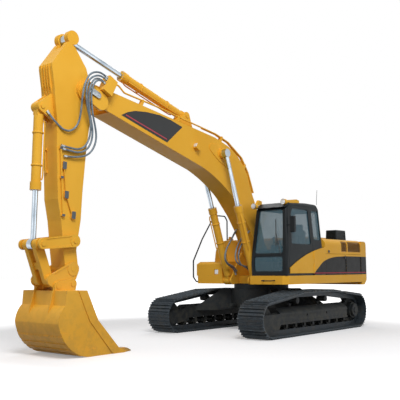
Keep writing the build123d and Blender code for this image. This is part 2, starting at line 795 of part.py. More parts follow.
def on_front_post(edge, inset):
    # whether an edge runs up one of the cab's two front corners
    middle, climb = edge.center(), abs((edge % 0.5).Z)
    beside = (abs(middle.Y - cab_outer + inset) < 0.95 * cab_lean
              or abs(middle.Y - cab_inner - inset) < 0.65 * cab_lean)
    ahead = middle.X > swing_x + cab_front - 420
    return ahead and beside and climb > 0.6 and cab_floor + inset + 5 < middle.Z < cab_top - 120 - inset


def pane(outline, grow=0.0):
    # filled window outline with rounded corners
    with BuildSketch() as glazing:
        shape(*outline)
        fillet(glazing.vertices(), window_corner)
        if grow:
            offset(amount=grow)
    return glazing.sketch


def door_pane(grow=0.0):
    # window of the door: the door's own outline above the belt line, drawn in by its frame
    with BuildSketch() as glazing:
        shape(*door_outline)
        offset(amount=-door_rail, kind=Kind.INTERSECTION)
        with Locations(((door_rear + door_front) / 2, window_belt / 2)):
            Rectangle(2 * (door_front - door_rear), window_belt, mode=Mode.SUBTRACT)
        fillet(glazing.vertices(), window_corner)
        if grow:
            offset(amount=grow)
    return glazing.sketch


def window_blocks(grow=0.0):
    # blocks through all the windows of the cab but the door's
    with BuildPart() as blocks:
        for y, outline in ((cab_outer + 50, rear_quarter), (cab_inner + 200, right_window)):
            with BuildSketch(upright(y)):
                add(pane(outline, grow))
            extrude(amount=260)
        with BuildSketch(facing(cab_front - 320)):
            add(pane(windscreen, grow))
            add(pane(lower_screen, grow))
        extrude(amount=420)
        with BuildSketch(facing(cab_rear - 20)):
            add(pane(rear_window, grow))
        extrude(amount=120)
    return blocks.part


def door_block(grow=0.0):
    with BuildPart() as block:
        with BuildSketch(upright(cab_outer + 50)):
            add(door_pane(grow))
        extrude(amount=260)
    return block.part


def arc_panel(front, rear, low):
    # raised panel below the arc that climbs from the cab's front sill to the housing
    with BuildPart() as panel:
        with BuildSketch(upright(house_half)):
            with BuildLine():
                Polyline((1020, 1450), (1020, cab_floor - 20), (housing_front, cab_floor - 20),
                         (housing_front, 1965), (-460, 1940))
                ThreePointArc((-460, 1940), (330, 1750), (1020, 1450))
            make_face()
            with Locations(((front + rear) / 2, (low + housing_top) / 2)):
                Rectangle(front - rear, housing_top - low, mode=Mode.INTERSECT)
        extrude(amount=arc_proud + cab_wall / 2)
    return panel.part


shell_outer = cab_volume(0)
shell_inner = cab_volume(cab_wall)

with BuildPart() as cab_shell:
    add(shell_outer)
    add(shell_inner, mode=Mode.SUBTRACT)
    with BuildSketch(upright(cab_outer + 50)):
        shape(*door_outline)
    extrude(amount=200 + cab_wall, mode=Mode.SUBTRACT)
    add(window_blocks(), mode=Mode.SUBTRACT)
    add(arc_panel(door_rear - panel_gap, housing_front + 3, cab_floor))
    # visor over the windscreen
    with BuildSketch(upright(cab_outer - cab_lean)):
        shape((cab_front - 300, cab_top - 62), (cab_front - 280, cab_top - 38),
              (cab_front - 95, cab_top - 150), (cab_front - 103, cab_top - 160))
    extrude(amount=cab_outer - cab_inner - 2 * cab_lean)
    # mirror on an arm from the left front post
    with BuildSketch(upright(1590)):
        with Locations((950, 2435)):
            RectangleRounded(60, 360, 25)
    extrude(amount=115)
    with BuildSketch(upright(1500)):
        with Locations((962, 2420)):
            Circle(13)
    extrude(amount=160)
    hinge_leaf(door_hinge, door_hinge_heights, moving=False, radius=hinge_barrel)
write(cab_shell, "cab_shell")

with BuildPart() as cab_door:
    add(shell_outer)
    add(shell_inner, mode=Mode.SUBTRACT)
    with BuildSketch(upright(cab_outer + 50)):
        shape(*door_outline)
        offset(amount=-panel_gap, kind=Kind.INTERSECTION)
    extrude(amount=200 + cab_wall, mode=Mode.INTERSECT)
    add(door_block(), mode=Mode.SUBTRACT)
    add(arc_panel(door_front - panel_gap, door_rear + panel_gap, door_sill + panel_gap))
    hinge_leaf(door_hinge, door_hinge_heights, moving=True, radius=hinge_barrel)
write(cab_door, "cab_door")

glass_thick = 6.0
glass_depth = 18.0       # from the outside of the wall to the outside of the glass
glass_gap = 0.05         # between the edge of a pane and its window

with BuildPart() as glass_layer:
    add(cab_volume(glass_depth))
    add(cab_volume(glass_depth + glass_thick), mode=Mode.SUBTRACT)

for name, blocks in (("cab_glass", window_blocks(-glass_gap)), ("cab_door_glass", door_block(-glass_gap))):
    with BuildPart() as glass:
        add(glass_layer.part)
        add(blocks, mode=Mode.INTERSECT)
    write(glass, name)

# work lamps at the roof's front corners, on yellow brackets
lamp_table = (                        # ahead, across, height, bracket's rear end, its width
    (1055, 555, 2885, 760, 60), (930, 1270, 2950, 330, 110),
)
lamp_radius, lamp_deep = 66.0, 95.0

with BuildPart() as roof_lamps:
    for ahead, across, height, bracket_rear, wide in lamp_table:
        with BuildSketch(facing(ahead - lamp_deep, (across, height))):
            Circle(lamp_radius)
        extrude(amount=lamp_deep)
        with BuildSketch(upright(across + wide / 2)):
            shape((ahead - lamp_deep + 5, height - 45), (ahead - lamp_deep + 5, height + 40),
                  (bracket_rear + 120, cab_top + 55), (bracket_rear, cab_top + 35),
                  (bracket_rear, cab_top - 60), (bracket_rear + 120, cab_top - 60))
        extrude(amount=wide)
    add(shell_outer, mode=Mode.SUBTRACT)
    add(cab_shell.part, mode=Mode.SUBTRACT)
write(roof_lamps, "roof_lamps")

cab_middle = (cab_inner + cab_outer) / 2
inside_floor = cab_floor + cab_wall

with BuildPart() as seat:
    with BuildSketch(upright(cab_middle + 250)):
        shape((0, inside_floor + running), (420, inside_floor + running), (430, 1800), (500, 1870),
              (490, 1930), (30, 1900), (-140, 2500), (-250, 2480), (-120, 1860), (0, 1780))
    extrude(amount=500)
write(seat, "seat")

with BuildPart() as console:
    for y in (cab_middle + 360, cab_middle - 270):
        with BuildSketch(upright(y)):
            shape((60, inside_floor + running), (380, inside_floor + running), (460, 1960), (400, 2020),
                  (40, 2000))
        extrude(amount=90)
        # control lever at the armrest's front end
        with BuildSketch(level(1990, (390, y - 45))):
            Circle(14)
        extrude(amount=150)
        with BuildSketch(level(2120, (390, y - 45))):
            Ellipse(34, 26)
        extrude(amount=75)
write(console, "consoles")

# ---- boom ----

boom_crown = (1700.0, 1490.0)    # top of the bend, along the line of the pins and square to it
boom_belly = (2200.0, 625.0)
stick_ear = (3620.0, 1370.0)
pipe_radius, pipe_rise = 17.0, 100.0             # pipes and how high they run over the boom
outer_pipe, inner_pipe = 215.0, 176.0            # from the boom's middle
manifold_ahead, manifold_out = 5930.0, 382.0     # block on the nose that the stick's hoses start from


def pipe(plane, route, radius, bend):
    # round pipe along a route of straight runs with bends of one radius
    with BuildPart() as piece:
        with BuildLine(plane) as line:
            FilletPolyline(*route, radius=bend)
        with BuildSketch(Plane(line.line @ 0, z_dir=line.line % 0)):
            Circle(radius)
        sweep(path=line.line)
    return piece.part


def boom_height(ahead):
    # height of the boom's upper face over the line of its pins
    edge = ((1045, 1085), (1305, 1320), (1700, 1490), (2260, 1520), (2720, 1425), (boom_length - 685, 450))
    for (x0, y0), (x1, y1) in zip(edge, edge[1:]):
        if x0 <= ahead <= x1:
            return y0 + (y1 - y0) * (ahead - x0) / (x1 - x0)


def above_boom(*places):
    return [(x, y + pipe_rise) for x, y in places]


long_route = above_boom((900, 990), (1300, 1316), (1660, 1490), (2260, 1520), (2720, 1425), (3765, 1060),
                        (4570, 790), (5380, 482), (5600, 520), (5700, 400))
short_route = above_boom((900, 990), (1300, 1316), (1660, 1490), (2260, 1520), (2720, 1425), (3150, 1275))
clamp_places = (1480, 2500, 3900, 4900)

with BuildPart() as boom:
    with BuildSketch(upright(0, boom_foot, boom_angle)):
        with BuildLine():
            Polyline((-115, 105), (390, 610), (670, 835), (1045, 1085), (1305, 1320))
            ThreePointArc((1305, 1320), boom_crown, (2260, 1520))
            Polyline((2260, 1520), (2720, 1425), (boom_length - 685, 450),
                     (boom_length + 40, tip_radius - 5))
            Polyline((boom_length + 40, tip_radius - 5), (boom_length + 40, 5 - tip_radius),
                     (boom_length - 390, -50), (2755, 590))
            ThreePointArc((2755, 590), boom_belly, (1600, 570))
            Polyline((1600, 570), (1045, 400), (650, 220), (430, 75), (110, -110), (-115, 105))
        make_face()
        Circle(foot_radius)
        with Locations((boom_length, 0)):
            Circle(tip_radius)
    extrude(amount=boom_half, both=True)
    # slot of the fork that takes the stick
    with BuildSketch(upright(0, stick_pin, boom_angle)):
        Circle(fork_depth)
    extrude(amount=nose_inner, both=True, mode=Mode.SUBTRACT)
    # cheek plates of the fork, with the raised pads round the stick's pin
    for y in (nose_outer, -boom_half):
        with BuildSketch(upright(y, stick_pin, boom_angle)):
            with Locations((0, 0), (-330, 20)):
                Circle(tip_radius - 25)
            make_hull()
        extrude(amount=nose_outer - boom_half)
    # doubling plates round the bosses of the boom cylinders
    for y in (boom_half + 12, -boom_half):
        with BuildSketch(upright(y, boom_cyl_eye, boom_angle)):
            with Locations((0, 0)):
                Circle(190)
            with Locations((-330, -70), (330, -60)):
                Circle(90)
            make_hull()
        extrude(amount=12)
    # boss of the foot
    with BuildSketch(upright(0, boom_foot)):
        Circle(foot_radius - 25)
    extrude(amount=frame_plate_half - running, both=True)
    with BuildSketch(upright(0, boom_foot)):
        Circle(pin_radius + running)
    extrude(amount=frame_plate_half, both=True, mode=Mode.SUBTRACT)
    # pins of the stick and of the stick cylinder
    with BuildSketch(upright(0, stick_pin)):
        Circle(pin_radius)
    extrude(amount=nose_outer + 20, both=True)
    # bosses for the boom cylinders' pins
    with BuildSketch(upright(0, boom_cyl_eye)):
        Circle(105)
    extrude(amount=boom_cyl_y - 55, both=True)
    # ears for the foot of the stick cylinder
    for y in (130, -85):
        with BuildSketch(upright(y, boom_foot, boom_angle)):
            with Locations(stick_ear):
                Circle(90)
            with Locations((stick_ear[0] - 320, stick_ear[1] - 220),
                           (stick_ear[0] + 140, stick_ear[1] - 370)):
                Circle(30)
            make_hull()
        extrude(amount=45)
    with BuildSketch(upright(0, stick_cyl_foot)):
        Circle(cyl_pin)
    extrude(amount=145, both=True)
    # oil pipes along the top, their clamps and the block that the stick's hoses start from
    for side in (1, -1):
        for out, route in ((outer_pipe, long_route), (inner_pipe, short_route)):
            add(pipe(upright(side * out, boom_foot, boom_angle), route, pipe_radius, 120))
    for ahead in clamp_places:
        for side in (1, -1):
            with BuildSketch(upright(max(side * boom_half, -145), boom_foot, boom_angle)):
                with Locations((ahead, boom_height(ahead) + pipe_rise / 2)):
                    Rectangle(46, pipe_rise + 60)
            extrude(amount=boom_half - 145)
    for y in (manifold_out, -outer_pipe + 17):
        with BuildSketch(upright(y, boom_foot, boom_angle)):
            with Locations((manifold_ahead - 110, 365)):
                Rectangle(220, 330)
        extrude(amount=manifold_out - outer_pipe + 17)
    # work lamp on the left side
    with BuildSketch(upright(boom_half + 95, boom_foot, boom_angle)):
        with Locations((3180, 845)):
            RectangleRounded(120, 130, 20)
    extrude(amount=100)
write(boom, "boom")

# ---- cylinders ----

neck = 150.0             # from a cylinder's foot pin to where its tube begins


def along_line(foot, eye, y):
    # plane at the cylinder's foot whose Z runs to its eye and whose X runs across the machine
    a = radians(heading(foot, eye))
    return Plane(origin=(swing_x + foot[0], y, foot[1]), x_dir=(0, 1, 0), z_dir=(cos(a), 0, sin(a)))


def cylinder(name, foot, eye, places, tube, rod, gland_at, rod_start, eye_half):
    # barrel bored for its rod from the gland to just past the foot, and the rod with its eye
    length = span(foot, eye)
    with BuildPart() as barrel:
        for y in places:
            with BuildSketch(upright(y, foot)):
                Circle(eye_radius)
            extrude(amount=eye_half, both=True)
            with BuildSketch(upright(y, foot, heading(foot, eye))):
                with Locations((neck / 2, 0)):
                    Rectangle(neck, 1.5 * eye_radius)
            extrude(amount=eye_half, both=True)
            with BuildSketch(along_line(foot, eye, y).offset(neck - 10)):
                Circle(tube)
            extrude(amount=gland_at - neck - 50)
            with BuildSketch(upright(y, foot)):
                Circle(cyl_pin + running)
            extrude(amount=eye_half, both=True, mode=Mode.SUBTRACT)
            with BuildSketch(along_line(foot, eye, y).offset(gland_at - 140)):
                Circle(tube + 14)
            extrude(amount=140)
            with BuildSketch(along_line(foot, eye, y).offset(eye_radius + 15)):
                Circle(rod + running)
            extrude(amount=gland_at, mode=Mode.SUBTRACT)
    write(barrel, f"{name}_barrel" + ("s" if len(places) > 1 else ""))
    with BuildPart() as ram:
        for y in places:
            with BuildSketch(along_line(foot, eye, y).offset(rod_start)):
                Circle(rod)
            extrude(amount=length - rod_start)
            with BuildSketch(upright(y, eye)):
                Circle(eye_radius)
            extrude(amount=eye_half, both=True)
    write(ram, f"{name}_rod" + ("s" if len(places) > 1 else ""))


cylinder("boom_cylinder", boom_cyl_foot, boom_cyl_eye, (boom_cyl_y, -boom_cyl_y),
         boom_tube, boom_rod, 1800, 1180, cyl_ear - 2)
cylinder("stick_cylinder", stick_cyl_foot, stick_cyl_eye, (0,), stick_tube, stick_rod, 1890, 1130, 80)
cylinder("bucket_cylinder", bucket_cyl_foot, rod_pin, (0,), bucket_tube, bucket_rod, 1450, 720, 60)

# ---- stick ----

stick_pipe = 13.0        # radius of the pipes on the stick
pipe_out = stick_half + 24
ring_proud = 7.0         # raised ring round the stick's pin
valve_places = ((1434, 352), (1937, 263), (2270, 78))

with BuildPart() as stick:
    with BuildSketch(upright(0, stick_pin, stick_angle)):
        shape((-820, 415), (-800, 465), (-315, 760), (-255, 755), (50, 680), (375, 620), (670, 555),
              (1100, 525), (2025, 415), (2390, 310), (2905, 210), (stick_length, 145), (stick_length, -140),
              (2870, -65), (2325, -115), (1825, -110), (1015, -130), (150, -200), (-60, -205), (-315, -45),
              (-440, 5), (-740, 280))
        with Locations((0, 0)):
            Circle(210)
        with Locations((-915, 350)):
            Circle(130)
        with Locations((stick_length, 0)):
            Circle(150)
    extrude(amount=stick_half, both=True)
    # slot for the rod's eye at the top
    with BuildSketch(upright(0, stick_cyl_eye, stick_angle)):
        Circle(300)
    extrude(amount=88, both=True, mode=Mode.SUBTRACT)
    # raised ring round the pin, inside the boom's fork
    with BuildSketch(upright(0, stick_pin)):
        Circle(200)
        Circle(165, mode=Mode.SUBTRACT)
    extrude(amount=stick_half + ring_proud, both=True)
    # upright ribs on the face above the bucket cylinder
    for y in (-95, -25, 45, 115):
        with BuildSketch(upright(y, stick_pin, stick_angle)):
            shape((-330, 740), (-300, 785), (60, 712), (200, 660), (180, 640))
        extrude(amount=20)
    # ears for the foot of the bucket cylinder
    for y in (110, -65):
        with BuildSketch(upright(y, stick_pin, stick_angle)):
            with Locations((470, 820)):
                Circle(90)
            with Locations((150, 560), (680, 480)):
                Circle(30)
            make_hull()
        extrude(amount=45)
    with BuildSketch(upright(0, bucket_cyl_foot)):
        Circle(cyl_pin)
    extrude(amount=125, both=True)
    # bore for the boom's pin, and the pins of the rockers and the coupler
    with BuildSketch(upright(0, stick_pin)):
        Circle(pin_radius + running)
    extrude(amount=stick_half + ring_proud, both=True, mode=Mode.SUBTRACT)
    with BuildSketch(upright(0, bucket_pin)):
        Circle(link_pin_radius)
    extrude(amount=coupler_outer + side_gap / 2, both=True)
    with BuildSketch(upright(0, rocker_pin)):
        Circle(link_pin_radius)
    extrude(amount=rocker_outer + pin_head, both=True)
    with BuildSketch(upright(0, rocker_pin)):
        Circle(80)
    extrude(amount=rocker_inner - running, both=True)
    # oil pipes on the left face with their clamps and valve blocks, and one along the front
    for route in (((1120, 455), (1650, 385), (2330, 290)), ((1434, 352), (1937, 263), (2270, 100))):
        add(pipe(upright(pipe_out, stick_pin, stick_angle), route, stick_pipe, 90))
    front_route = ((1130, 538), (1340, 513), (1560, 486))
    add(pipe(upright(-110, stick_pin, stick_angle), front_route, stick_pipe - 2, 90))
    with BuildSketch(upright(pipe_out + 20, stick_pin, stick_angle)):
        with Locations(*valve_places):
            RectangleRounded(130, 84, 12)
        with Locations((1140, 450), (1650, 385), (2300, 294)):
            Rectangle(40, 60)
    extrude(amount=pipe_out + 20 - stick_half)
    with BuildSketch(upright(-80, stick_pin, stick_angle)):
        with Locations((1150, 528), (1540, 481)):
            Rectangle(40, 42)
    extrude(amount=60)
write(stick, "stick")

# ---- linkage: rockers, link, coupler, bucket ----

web_sunk = 10.0          # how far the webs of the plates lie inside their bosses
rocker_bosses = ((rocker_pin, 105.0), (rod_pin, 90.0))


def web_pocket(bosses, edge):
    # filled web between the bosses, drawn in from the plate's edge
    with BuildSketch() as pocket:
        for place, radius in bosses:
            with Locations(place):
                Circle(radius - edge)
        make_hull()
        for place, radius in bosses:
            with Locations(place):
                Circle(radius, mode=Mode.SUBTRACT)
    return pocket.sketch


with BuildPart() as rockers:
    for side in (1, -1):
        with BuildSketch(upright(rocker_outer if side > 0 else -rocker_inner)):
            for place, radius in rocker_bosses:
                with Locations(place):
                    Circle(radius)
            make_hull()
            with Locations(rocker_pin, rod_pin):
                Circle(link_pin_radius + running, mode=Mode.SUBTRACT)
        extrude(amount=rocker_plate)
        with BuildSketch(upright(rocker_outer if side > 0 else -rocker_outer + web_sunk)):
            add(web_pocket(rocker_bosses, 22))
        extrude(amount=web_sunk, mode=Mode.SUBTRACT)
write(rockers, "rockers")

link_inner, link_outer = 68.0, stick_half
link_eye = 85.0
with BuildPart() as link:
    for y in (link_outer, -link_inner):
        with BuildSketch(upright(y)):
            with Locations(rod_pin, link_pin):
                Circle(link_eye)
            make_hull()
        extrude(amount=link_outer - link_inner)
    # the bars are slimmer than the eyes at their ends
    for y in (link_outer, -link_outer + 35):
        with BuildSketch(upright(y)):
            add(web_pocket(((rod_pin, link_eye + 8), (link_pin, link_eye + 8)), -30))
        extrude(amount=35, mode=Mode.SUBTRACT)
    with BuildSketch(upright(0, link_pin, heading(link_pin, rod_pin))):
        with Locations((link_length * 0.42, 0)):
            Rectangle(120, 110)
    extrude(amount=link_inner + 5, both=True)
    # pin ends that carry the rockers
    for y in (rocker_outer + pin_head, -link_outer):
        with BuildSketch(upright(y, rod_pin)):
            Circle(link_pin_radius)
        extrude(amount=rocker_outer + pin_head - link_outer)
write(link, "power_link")

ear_plate = 50.0
hook_pins = ((bucket_pin[0] + 50, bucket_pin[1] - 255), (bucket_pin[0] + 355, bucket_pin[1] - 288))
coupler_bosses = ((bucket_pin, 120.0), (link_pin, 95.0), (hook_pins[0], 62.0), (hook_pins[1], 62.0))
with BuildPart() as coupler:
    for side in (1, -1):
        with BuildSketch(upright(coupler_outer if side > 0 else -coupler_inner)):
            for place, radius in coupler_bosses:
                with Locations(place):
                    Circle(radius)
            make_hull()
            with Locations(bucket_pin):
                Circle(link_pin_radius + running, mode=Mode.SUBTRACT)
        extrude(amount=coupler_plate)
        with BuildSketch(upright(coupler_outer if side > 0 else -coupler_outer + web_sunk)):
            add(web_pocket(coupler_bosses, 24))
        extrude(amount=web_sunk, mode=Mode.SUBTRACT)
    with BuildSketch(upright(0, bucket_pin)):
        with Locations((190, -285)):
            Rectangle(230, 50)
    extrude(amount=coupler_inner + 10, both=True)
    # ends of the bucket's two pins
    for y in (coupler_outer + running + ear_plate + pin_head, -coupler_inner):
        with BuildSketch(upright(y)):
            with Locations(*hook_pins):
                Circle(link_pin_radius)
        extrude(amount=coupler_plate + running + ear_plate + pin_head)
write(coupler, "coupler")

shell_plate = 22.0
side_bar = 14.0          # how far the bars along the side edges stand out
lip_plate = 32.0
bucket_floor = -bucket_pin_height
bucket_top = -362.0
heel_radius = 700.0
heel_middle = (-100.0, bucket_floor + heel_radius)
heel_end = -10.0         # direction in degrees from the heel's middle to where its round ends


def bucket_outline(inset, mouth):
    # filled side outline measured from the bucket's pin, at the given depth inside the back plate;
    # the mouth is a list of places from the cutting edge up to the top
    radius = heel_radius - inset
    end = turned(heel_middle, heel_end, radius, 0)
    middle = turned(heel_middle, (heel_end - 90) / 2, radius, 0)
    with BuildSketch() as outline:
        with BuildLine():
            ThreePointArc((heel_middle[0], bucket_floor + inset), middle, end)
            ThreePointArc(end, (555 - inset, -745), (450 - inset, -600))
            Polyline((450 - inset, -600), (430 - inset, bucket_top - inset), *reversed(mouth),
                     (heel_middle[0], bucket_floor + inset))
        make_face()
    return outline.sketch


lip = (-880.0, bucket_floor)
mouth_edge = (lip, (-900, bucket_floor + lip_plate - 4), (-720, -1368), (-240, -868), (10, bucket_top))
mouth_open = ((-1200, bucket_floor + lip_plate), (-1200, -1400), (-830, -1400), (-330, -868),
              (-40, bucket_top - shell_plate))

with BuildPart() as bucket:
    with BuildSketch(upright(0, bucket_pin)):
        add(bucket_outline(0, mouth_edge))
    extrude(amount=bucket_half - side_bar, both=True)
    with BuildSketch(upright(0, bucket_pin)):
        add(bucket_outline(shell_plate, mouth_open))
    extrude(amount=bucket_half - side_bar - shell_plate, both=True, mode=Mode.SUBTRACT)
    for side in (1, -1):
        # bar along the side's free edge, and the wear plate at the heel's corner
        with BuildSketch(upright(bucket_half if side > 0 else side_bar - bucket_half, bucket_pin)):
            shape(lip, (-900, bucket_floor + lip_plate - 4), (-720, -1368), (-240, -868), (10, bucket_top),
                  (190, bucket_top), (-60, -880), (-560, bucket_floor + 30), (-600, bucket_floor))
            add(bucket_outline(0, mouth_edge), mode=Mode.INTERSECT)
        extrude(amount=side_bar)
        with BuildSketch(upright(bucket_half - 4 if side > 0 else side_bar - bucket_half, bucket_pin)):
            with Locations(heel_middle):
                Circle(heel_radius)
                Circle(heel_radius - 120, mode=Mode.SUBTRACT)
            with Locations((heel_middle[0] + heel_radius / 2 - 60, bucket_floor + 210)):
                Rectangle(heel_radius + 120, 420, mode=Mode.INTERSECT)
        extrude(amount=side_bar - 4)
    # wear strips across the heel
    for turn in (-68, -56, -44, -32):
        with BuildSketch(upright(0, turned(bucket_pin, 0, *heel_middle), turn)):
            with Locations((heel_radius - 2, 0)):
                Rectangle(22, 95)
        extrude(amount=bucket_half - side_bar, both=True)
    # ears that hold the coupler's pins, running down the back as gussets
    for y in (coupler_outer + running + ear_plate, -coupler_outer - running):
        with BuildSketch(upright(y)):
            with Locations(*hook_pins):
                Circle(82)
            with Locations((bucket_pin[0] + 10, bucket_pin[1] + bucket_top - 20),
                           (bucket_pin[0] + 420, bucket_pin[1] + bucket_top - 20)):
                Circle(12)
            make_hull()
            with Locations(*hook_pins):
                Circle(link_pin_radius + running, mode=Mode.SUBTRACT)
        extrude(amount=ear_plate)
        with BuildSketch(upright(y - ear_plate / 4, bucket_pin)):
            shape((434, -300), (592, -870), (560, -880), (425, -600), (400, bucket_top - 5), (380, -330))
        extrude(amount=ear_plate / 2)
write(bucket, "bucket")

tooth_count = 5
tooth_half = 52.0
end_tooth = bucket_half - side_bar - shell_plate - tooth_half
with BuildPart() as teeth:
    for i in range(tooth_count):
        y = (i - (tooth_count - 1) / 2) * 2 * end_tooth / (tooth_count - 1)
        with BuildSketch(upright(y, bucket_pin)):
            shape((-740, bucket_floor + lip_plate + running), (-760, bucket_floor + 66),
                  (-890, bucket_floor + 84), (-960, bucket_floor + 68), (-1065, bucket_floor + 20),
                  (-1068, bucket_floor + 8),
                  (-940, bucket_floor), (-900 - running, bucket_floor),
                  (-900 - running, bucket_floor + lip_plate + running))
        extrude(amount=tooth_half, both=True)
        # the point narrows towards its tip
        for side in (1, -1):
            with BuildSketch(level(bucket_pin_height + bucket_floor, (bucket_pin[0], y))):
                shape((-940, side * (tooth_half + 1)), (-1075, side * (tooth_half - 22)),
                      (-1075, side * (tooth_half + 1)))
            extrude(amount=90, mode=Mode.SUBTRACT)
write(teeth, "bucket_teeth")
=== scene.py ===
import json
import math
import bpy
from mathutils import Matrix, Vector


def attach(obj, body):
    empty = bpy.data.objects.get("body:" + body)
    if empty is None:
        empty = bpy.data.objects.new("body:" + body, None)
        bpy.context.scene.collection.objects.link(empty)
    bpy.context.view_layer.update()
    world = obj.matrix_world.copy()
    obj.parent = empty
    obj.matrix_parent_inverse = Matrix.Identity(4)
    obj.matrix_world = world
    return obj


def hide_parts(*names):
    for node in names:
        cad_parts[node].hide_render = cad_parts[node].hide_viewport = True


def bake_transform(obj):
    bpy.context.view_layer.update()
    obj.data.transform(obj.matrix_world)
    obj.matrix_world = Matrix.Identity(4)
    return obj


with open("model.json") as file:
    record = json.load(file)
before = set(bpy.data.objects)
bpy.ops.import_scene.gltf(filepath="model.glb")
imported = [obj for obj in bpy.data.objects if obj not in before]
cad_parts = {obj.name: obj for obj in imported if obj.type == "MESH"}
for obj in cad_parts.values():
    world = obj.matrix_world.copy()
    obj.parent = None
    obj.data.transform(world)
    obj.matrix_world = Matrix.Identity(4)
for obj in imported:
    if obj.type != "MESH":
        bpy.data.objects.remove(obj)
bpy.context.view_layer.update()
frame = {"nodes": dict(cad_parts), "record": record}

swingX = -1.8375          # the swing axis, in metres ahead of the model's middle
millimetre = 0.001
print("frame loaded")


# camera and lights

cameraSetup = {"place": (13.27 + swingX, 9.213, 1.437), "yaw": 220.036, "pitch": 6.119, "roll": -0.334,
               "lens": 58.77, "sensor": 36.0}
lightSetup = {
    "key": {"place": (9.0, 9.0, 13.0), "target": (0.5, 0.0, 1.5), "size": 6.0, "power": 1600.0},
    "fill": {"place": (-1.0, 15.0, 6.0), "target": (0.0, 0.0, 1.5), "size": 9.0, "power": 330.0},
    "front": {"place": (16.0, -2.0, 6.0), "target": (0.0, 0.0, 2.0), "size": 8.0, "power": 200.0},
    "rear": {"place": (-10.0, -8.0, 10.0), "target": (0.0, 0.0, 1.5), "size": 8.0, "power": 500.0},
}


def placeCamera(setup):
    yaw, pitch, roll = (math.radians(setup[name]) for name in ("yaw", "pitch", "roll"))
    ahead = Vector((math.cos(yaw) * math.cos(pitch), math.sin(yaw) * math.cos(pitch), math.sin(pitch)))
    right = ahead.cross(Vector((0, 0, 1))).normalized()
    up = right.cross(ahead)
    turnedRight = right * math.cos(roll) + up * math.sin(roll)
    turnedUp = up * math.cos(roll) - right * math.sin(roll)
    bpy.ops.object.camera_add(location=setup["place"])
    camera = bpy.context.object
    camera.name = "showCamera"
    camera.data.lens = setup["lens"]
    camera.data.sensor_width = setup["sensor"]
    camera.data.clip_end = 200.0
    turn = Matrix((turnedRight, turnedUp, -ahead)).transposed()
    camera.matrix_world = Matrix.Translation(setup["place"]) @ turn.to_4x4()
    bpy.context.scene.camera = camera


def placeLight(name, setup):
    bpy.ops.object.light_add(type="AREA", location=setup["place"])
    lamp = bpy.context.object
    lamp.name = name + "Light"
    lamp.data.size = setup["size"]
    lamp.data.energy = setup["power"]
    aim = Vector(setup["target"]) - Vector(setup["place"])
    lamp.rotation_euler = aim.to_track_quat("-Z", "Y").to_euler()


placeCamera(cameraSetup)
for lightName, lightValues in lightSetup.items():
    placeLight(lightName, lightValues)
print("camera and lights placed")


# materials

def linearColour(hexText):
    # sRGB hex to the linear values that shaders take
    channels = [int(hexText[i:i + 2], 16) / 255 for i in (1, 3, 5)]
    return tuple(c / 12.92 if c <= 0.04045 else ((c + 0.055) / 1.055) ** 2.4 for c in channels) + (1.0,)


def addNode(tree, kind, settings=None, links=None):
    # one node with its settings and what feeds its inputs; a key may be a name or a number
    node = tree.nodes.new(kind)
    for name, value in (settings or {}).items():
        if isinstance(name, int) or name in node.inputs:
            node.inputs[name].default_value = value
        else:
            setattr(node, name, value)
    for name, source in (links or {}).items():
        if isinstance(source, bpy.types.NodeSocket):
            tree.links.new(source, node.inputs[name])
        else:
            node.inputs[name].default_value = source
    return node


def newMaterial(name):
    material = bpy.data.materials.new(name)
    material.use_nodes = True
    tree = material.node_tree
    tree.nodes.clear()
    shader = addNode(tree, "ShaderNodeBsdfPrincipled")
    addNode(tree, "ShaderNodeOutputMaterial", links={"Surface": shader.outputs["BSDF"]})
    return material, tree, shader


def blendColours(tree, factor, first, second):
    # colour that goes from the first to the second as the factor rises; each may be a colour or a socket
    node = addNode(tree, "ShaderNodeMix", {"data_type": "RGBA"}, {0: factor, 6: first, 7: second})
    return node.outputs[2]


def spread(tree, value, low, high, first=0.0, second=1.0):
    # maps a value between low and high to the range first to second
    node = addNode(tree, "ShaderNodeMapRange", {"From Min": low, "From Max": high, "To Min": first,
                                                "To Max": second}, {"Value": value})
    return node.outputs["Result"]


def combine(tree, operation, first, second):
    node = addNode(tree, "ShaderNodeMath", {"operation": operation}, {0: first, 1: second})
    return node.outputs["Value"]


def noiseAt(tree, sizeMm, detail=3.0, roughness=0.5):
    # noise whose blotches are about that many millimetres across, in the machine's own space
    coords = addNode(tree, "ShaderNodeTexCoord")
    node = addNode(tree, "ShaderNodeTexNoise", {"Scale": 1.0 / (sizeMm * millimetre), "Detail": detail,
                                                "Roughness": roughness}, {"Vector": coords.outputs["Object"]})
    return node.outputs["Fac"]


def placeOf(tree):
    # the three object coordinates of the point being painted, in metres
    coords = addNode(tree, "ShaderNodeTexCoord")
    parts = addNode(tree, "ShaderNodeSeparateXYZ", links={"Vector": coords.outputs["Object"]})
    return parts.outputs["X"], parts.outputs["Y"], parts.outputs["Z"]


def addBump(tree, shader, height, strength, depthMm):
    node = addNode(tree, "ShaderNodeBump", {"Strength": strength, "Distance": depthMm * millimetre},
                   {"Height": height})
    tree.links.new(node.outputs["Normal"], shader.inputs["Normal"])


def wornEdges(tree, widthMm, low=0.52, high=0.60):
    # 1 where the paint is rubbed on sharp edges, from the rounded normal that a bevel node gives
    soft = addNode(tree, "ShaderNodeBevel", {"samples": 4, "Radius": widthMm * millimetre})
    flat = addNode(tree, "ShaderNodeNewGeometry")
    turn = addNode(tree, "ShaderNodeVectorMath", {"operation": "DOT_PRODUCT"},
                   {0: soft.outputs["Normal"], 1: flat.outputs["Normal"]})
    edge = spread(tree, turn.outputs["Value"], 0.97, 0.86)
    return combine(tree, "MULTIPLY", edge, spread(tree, noiseAt(tree, 60.0, 5.0, 0.7), low, high))


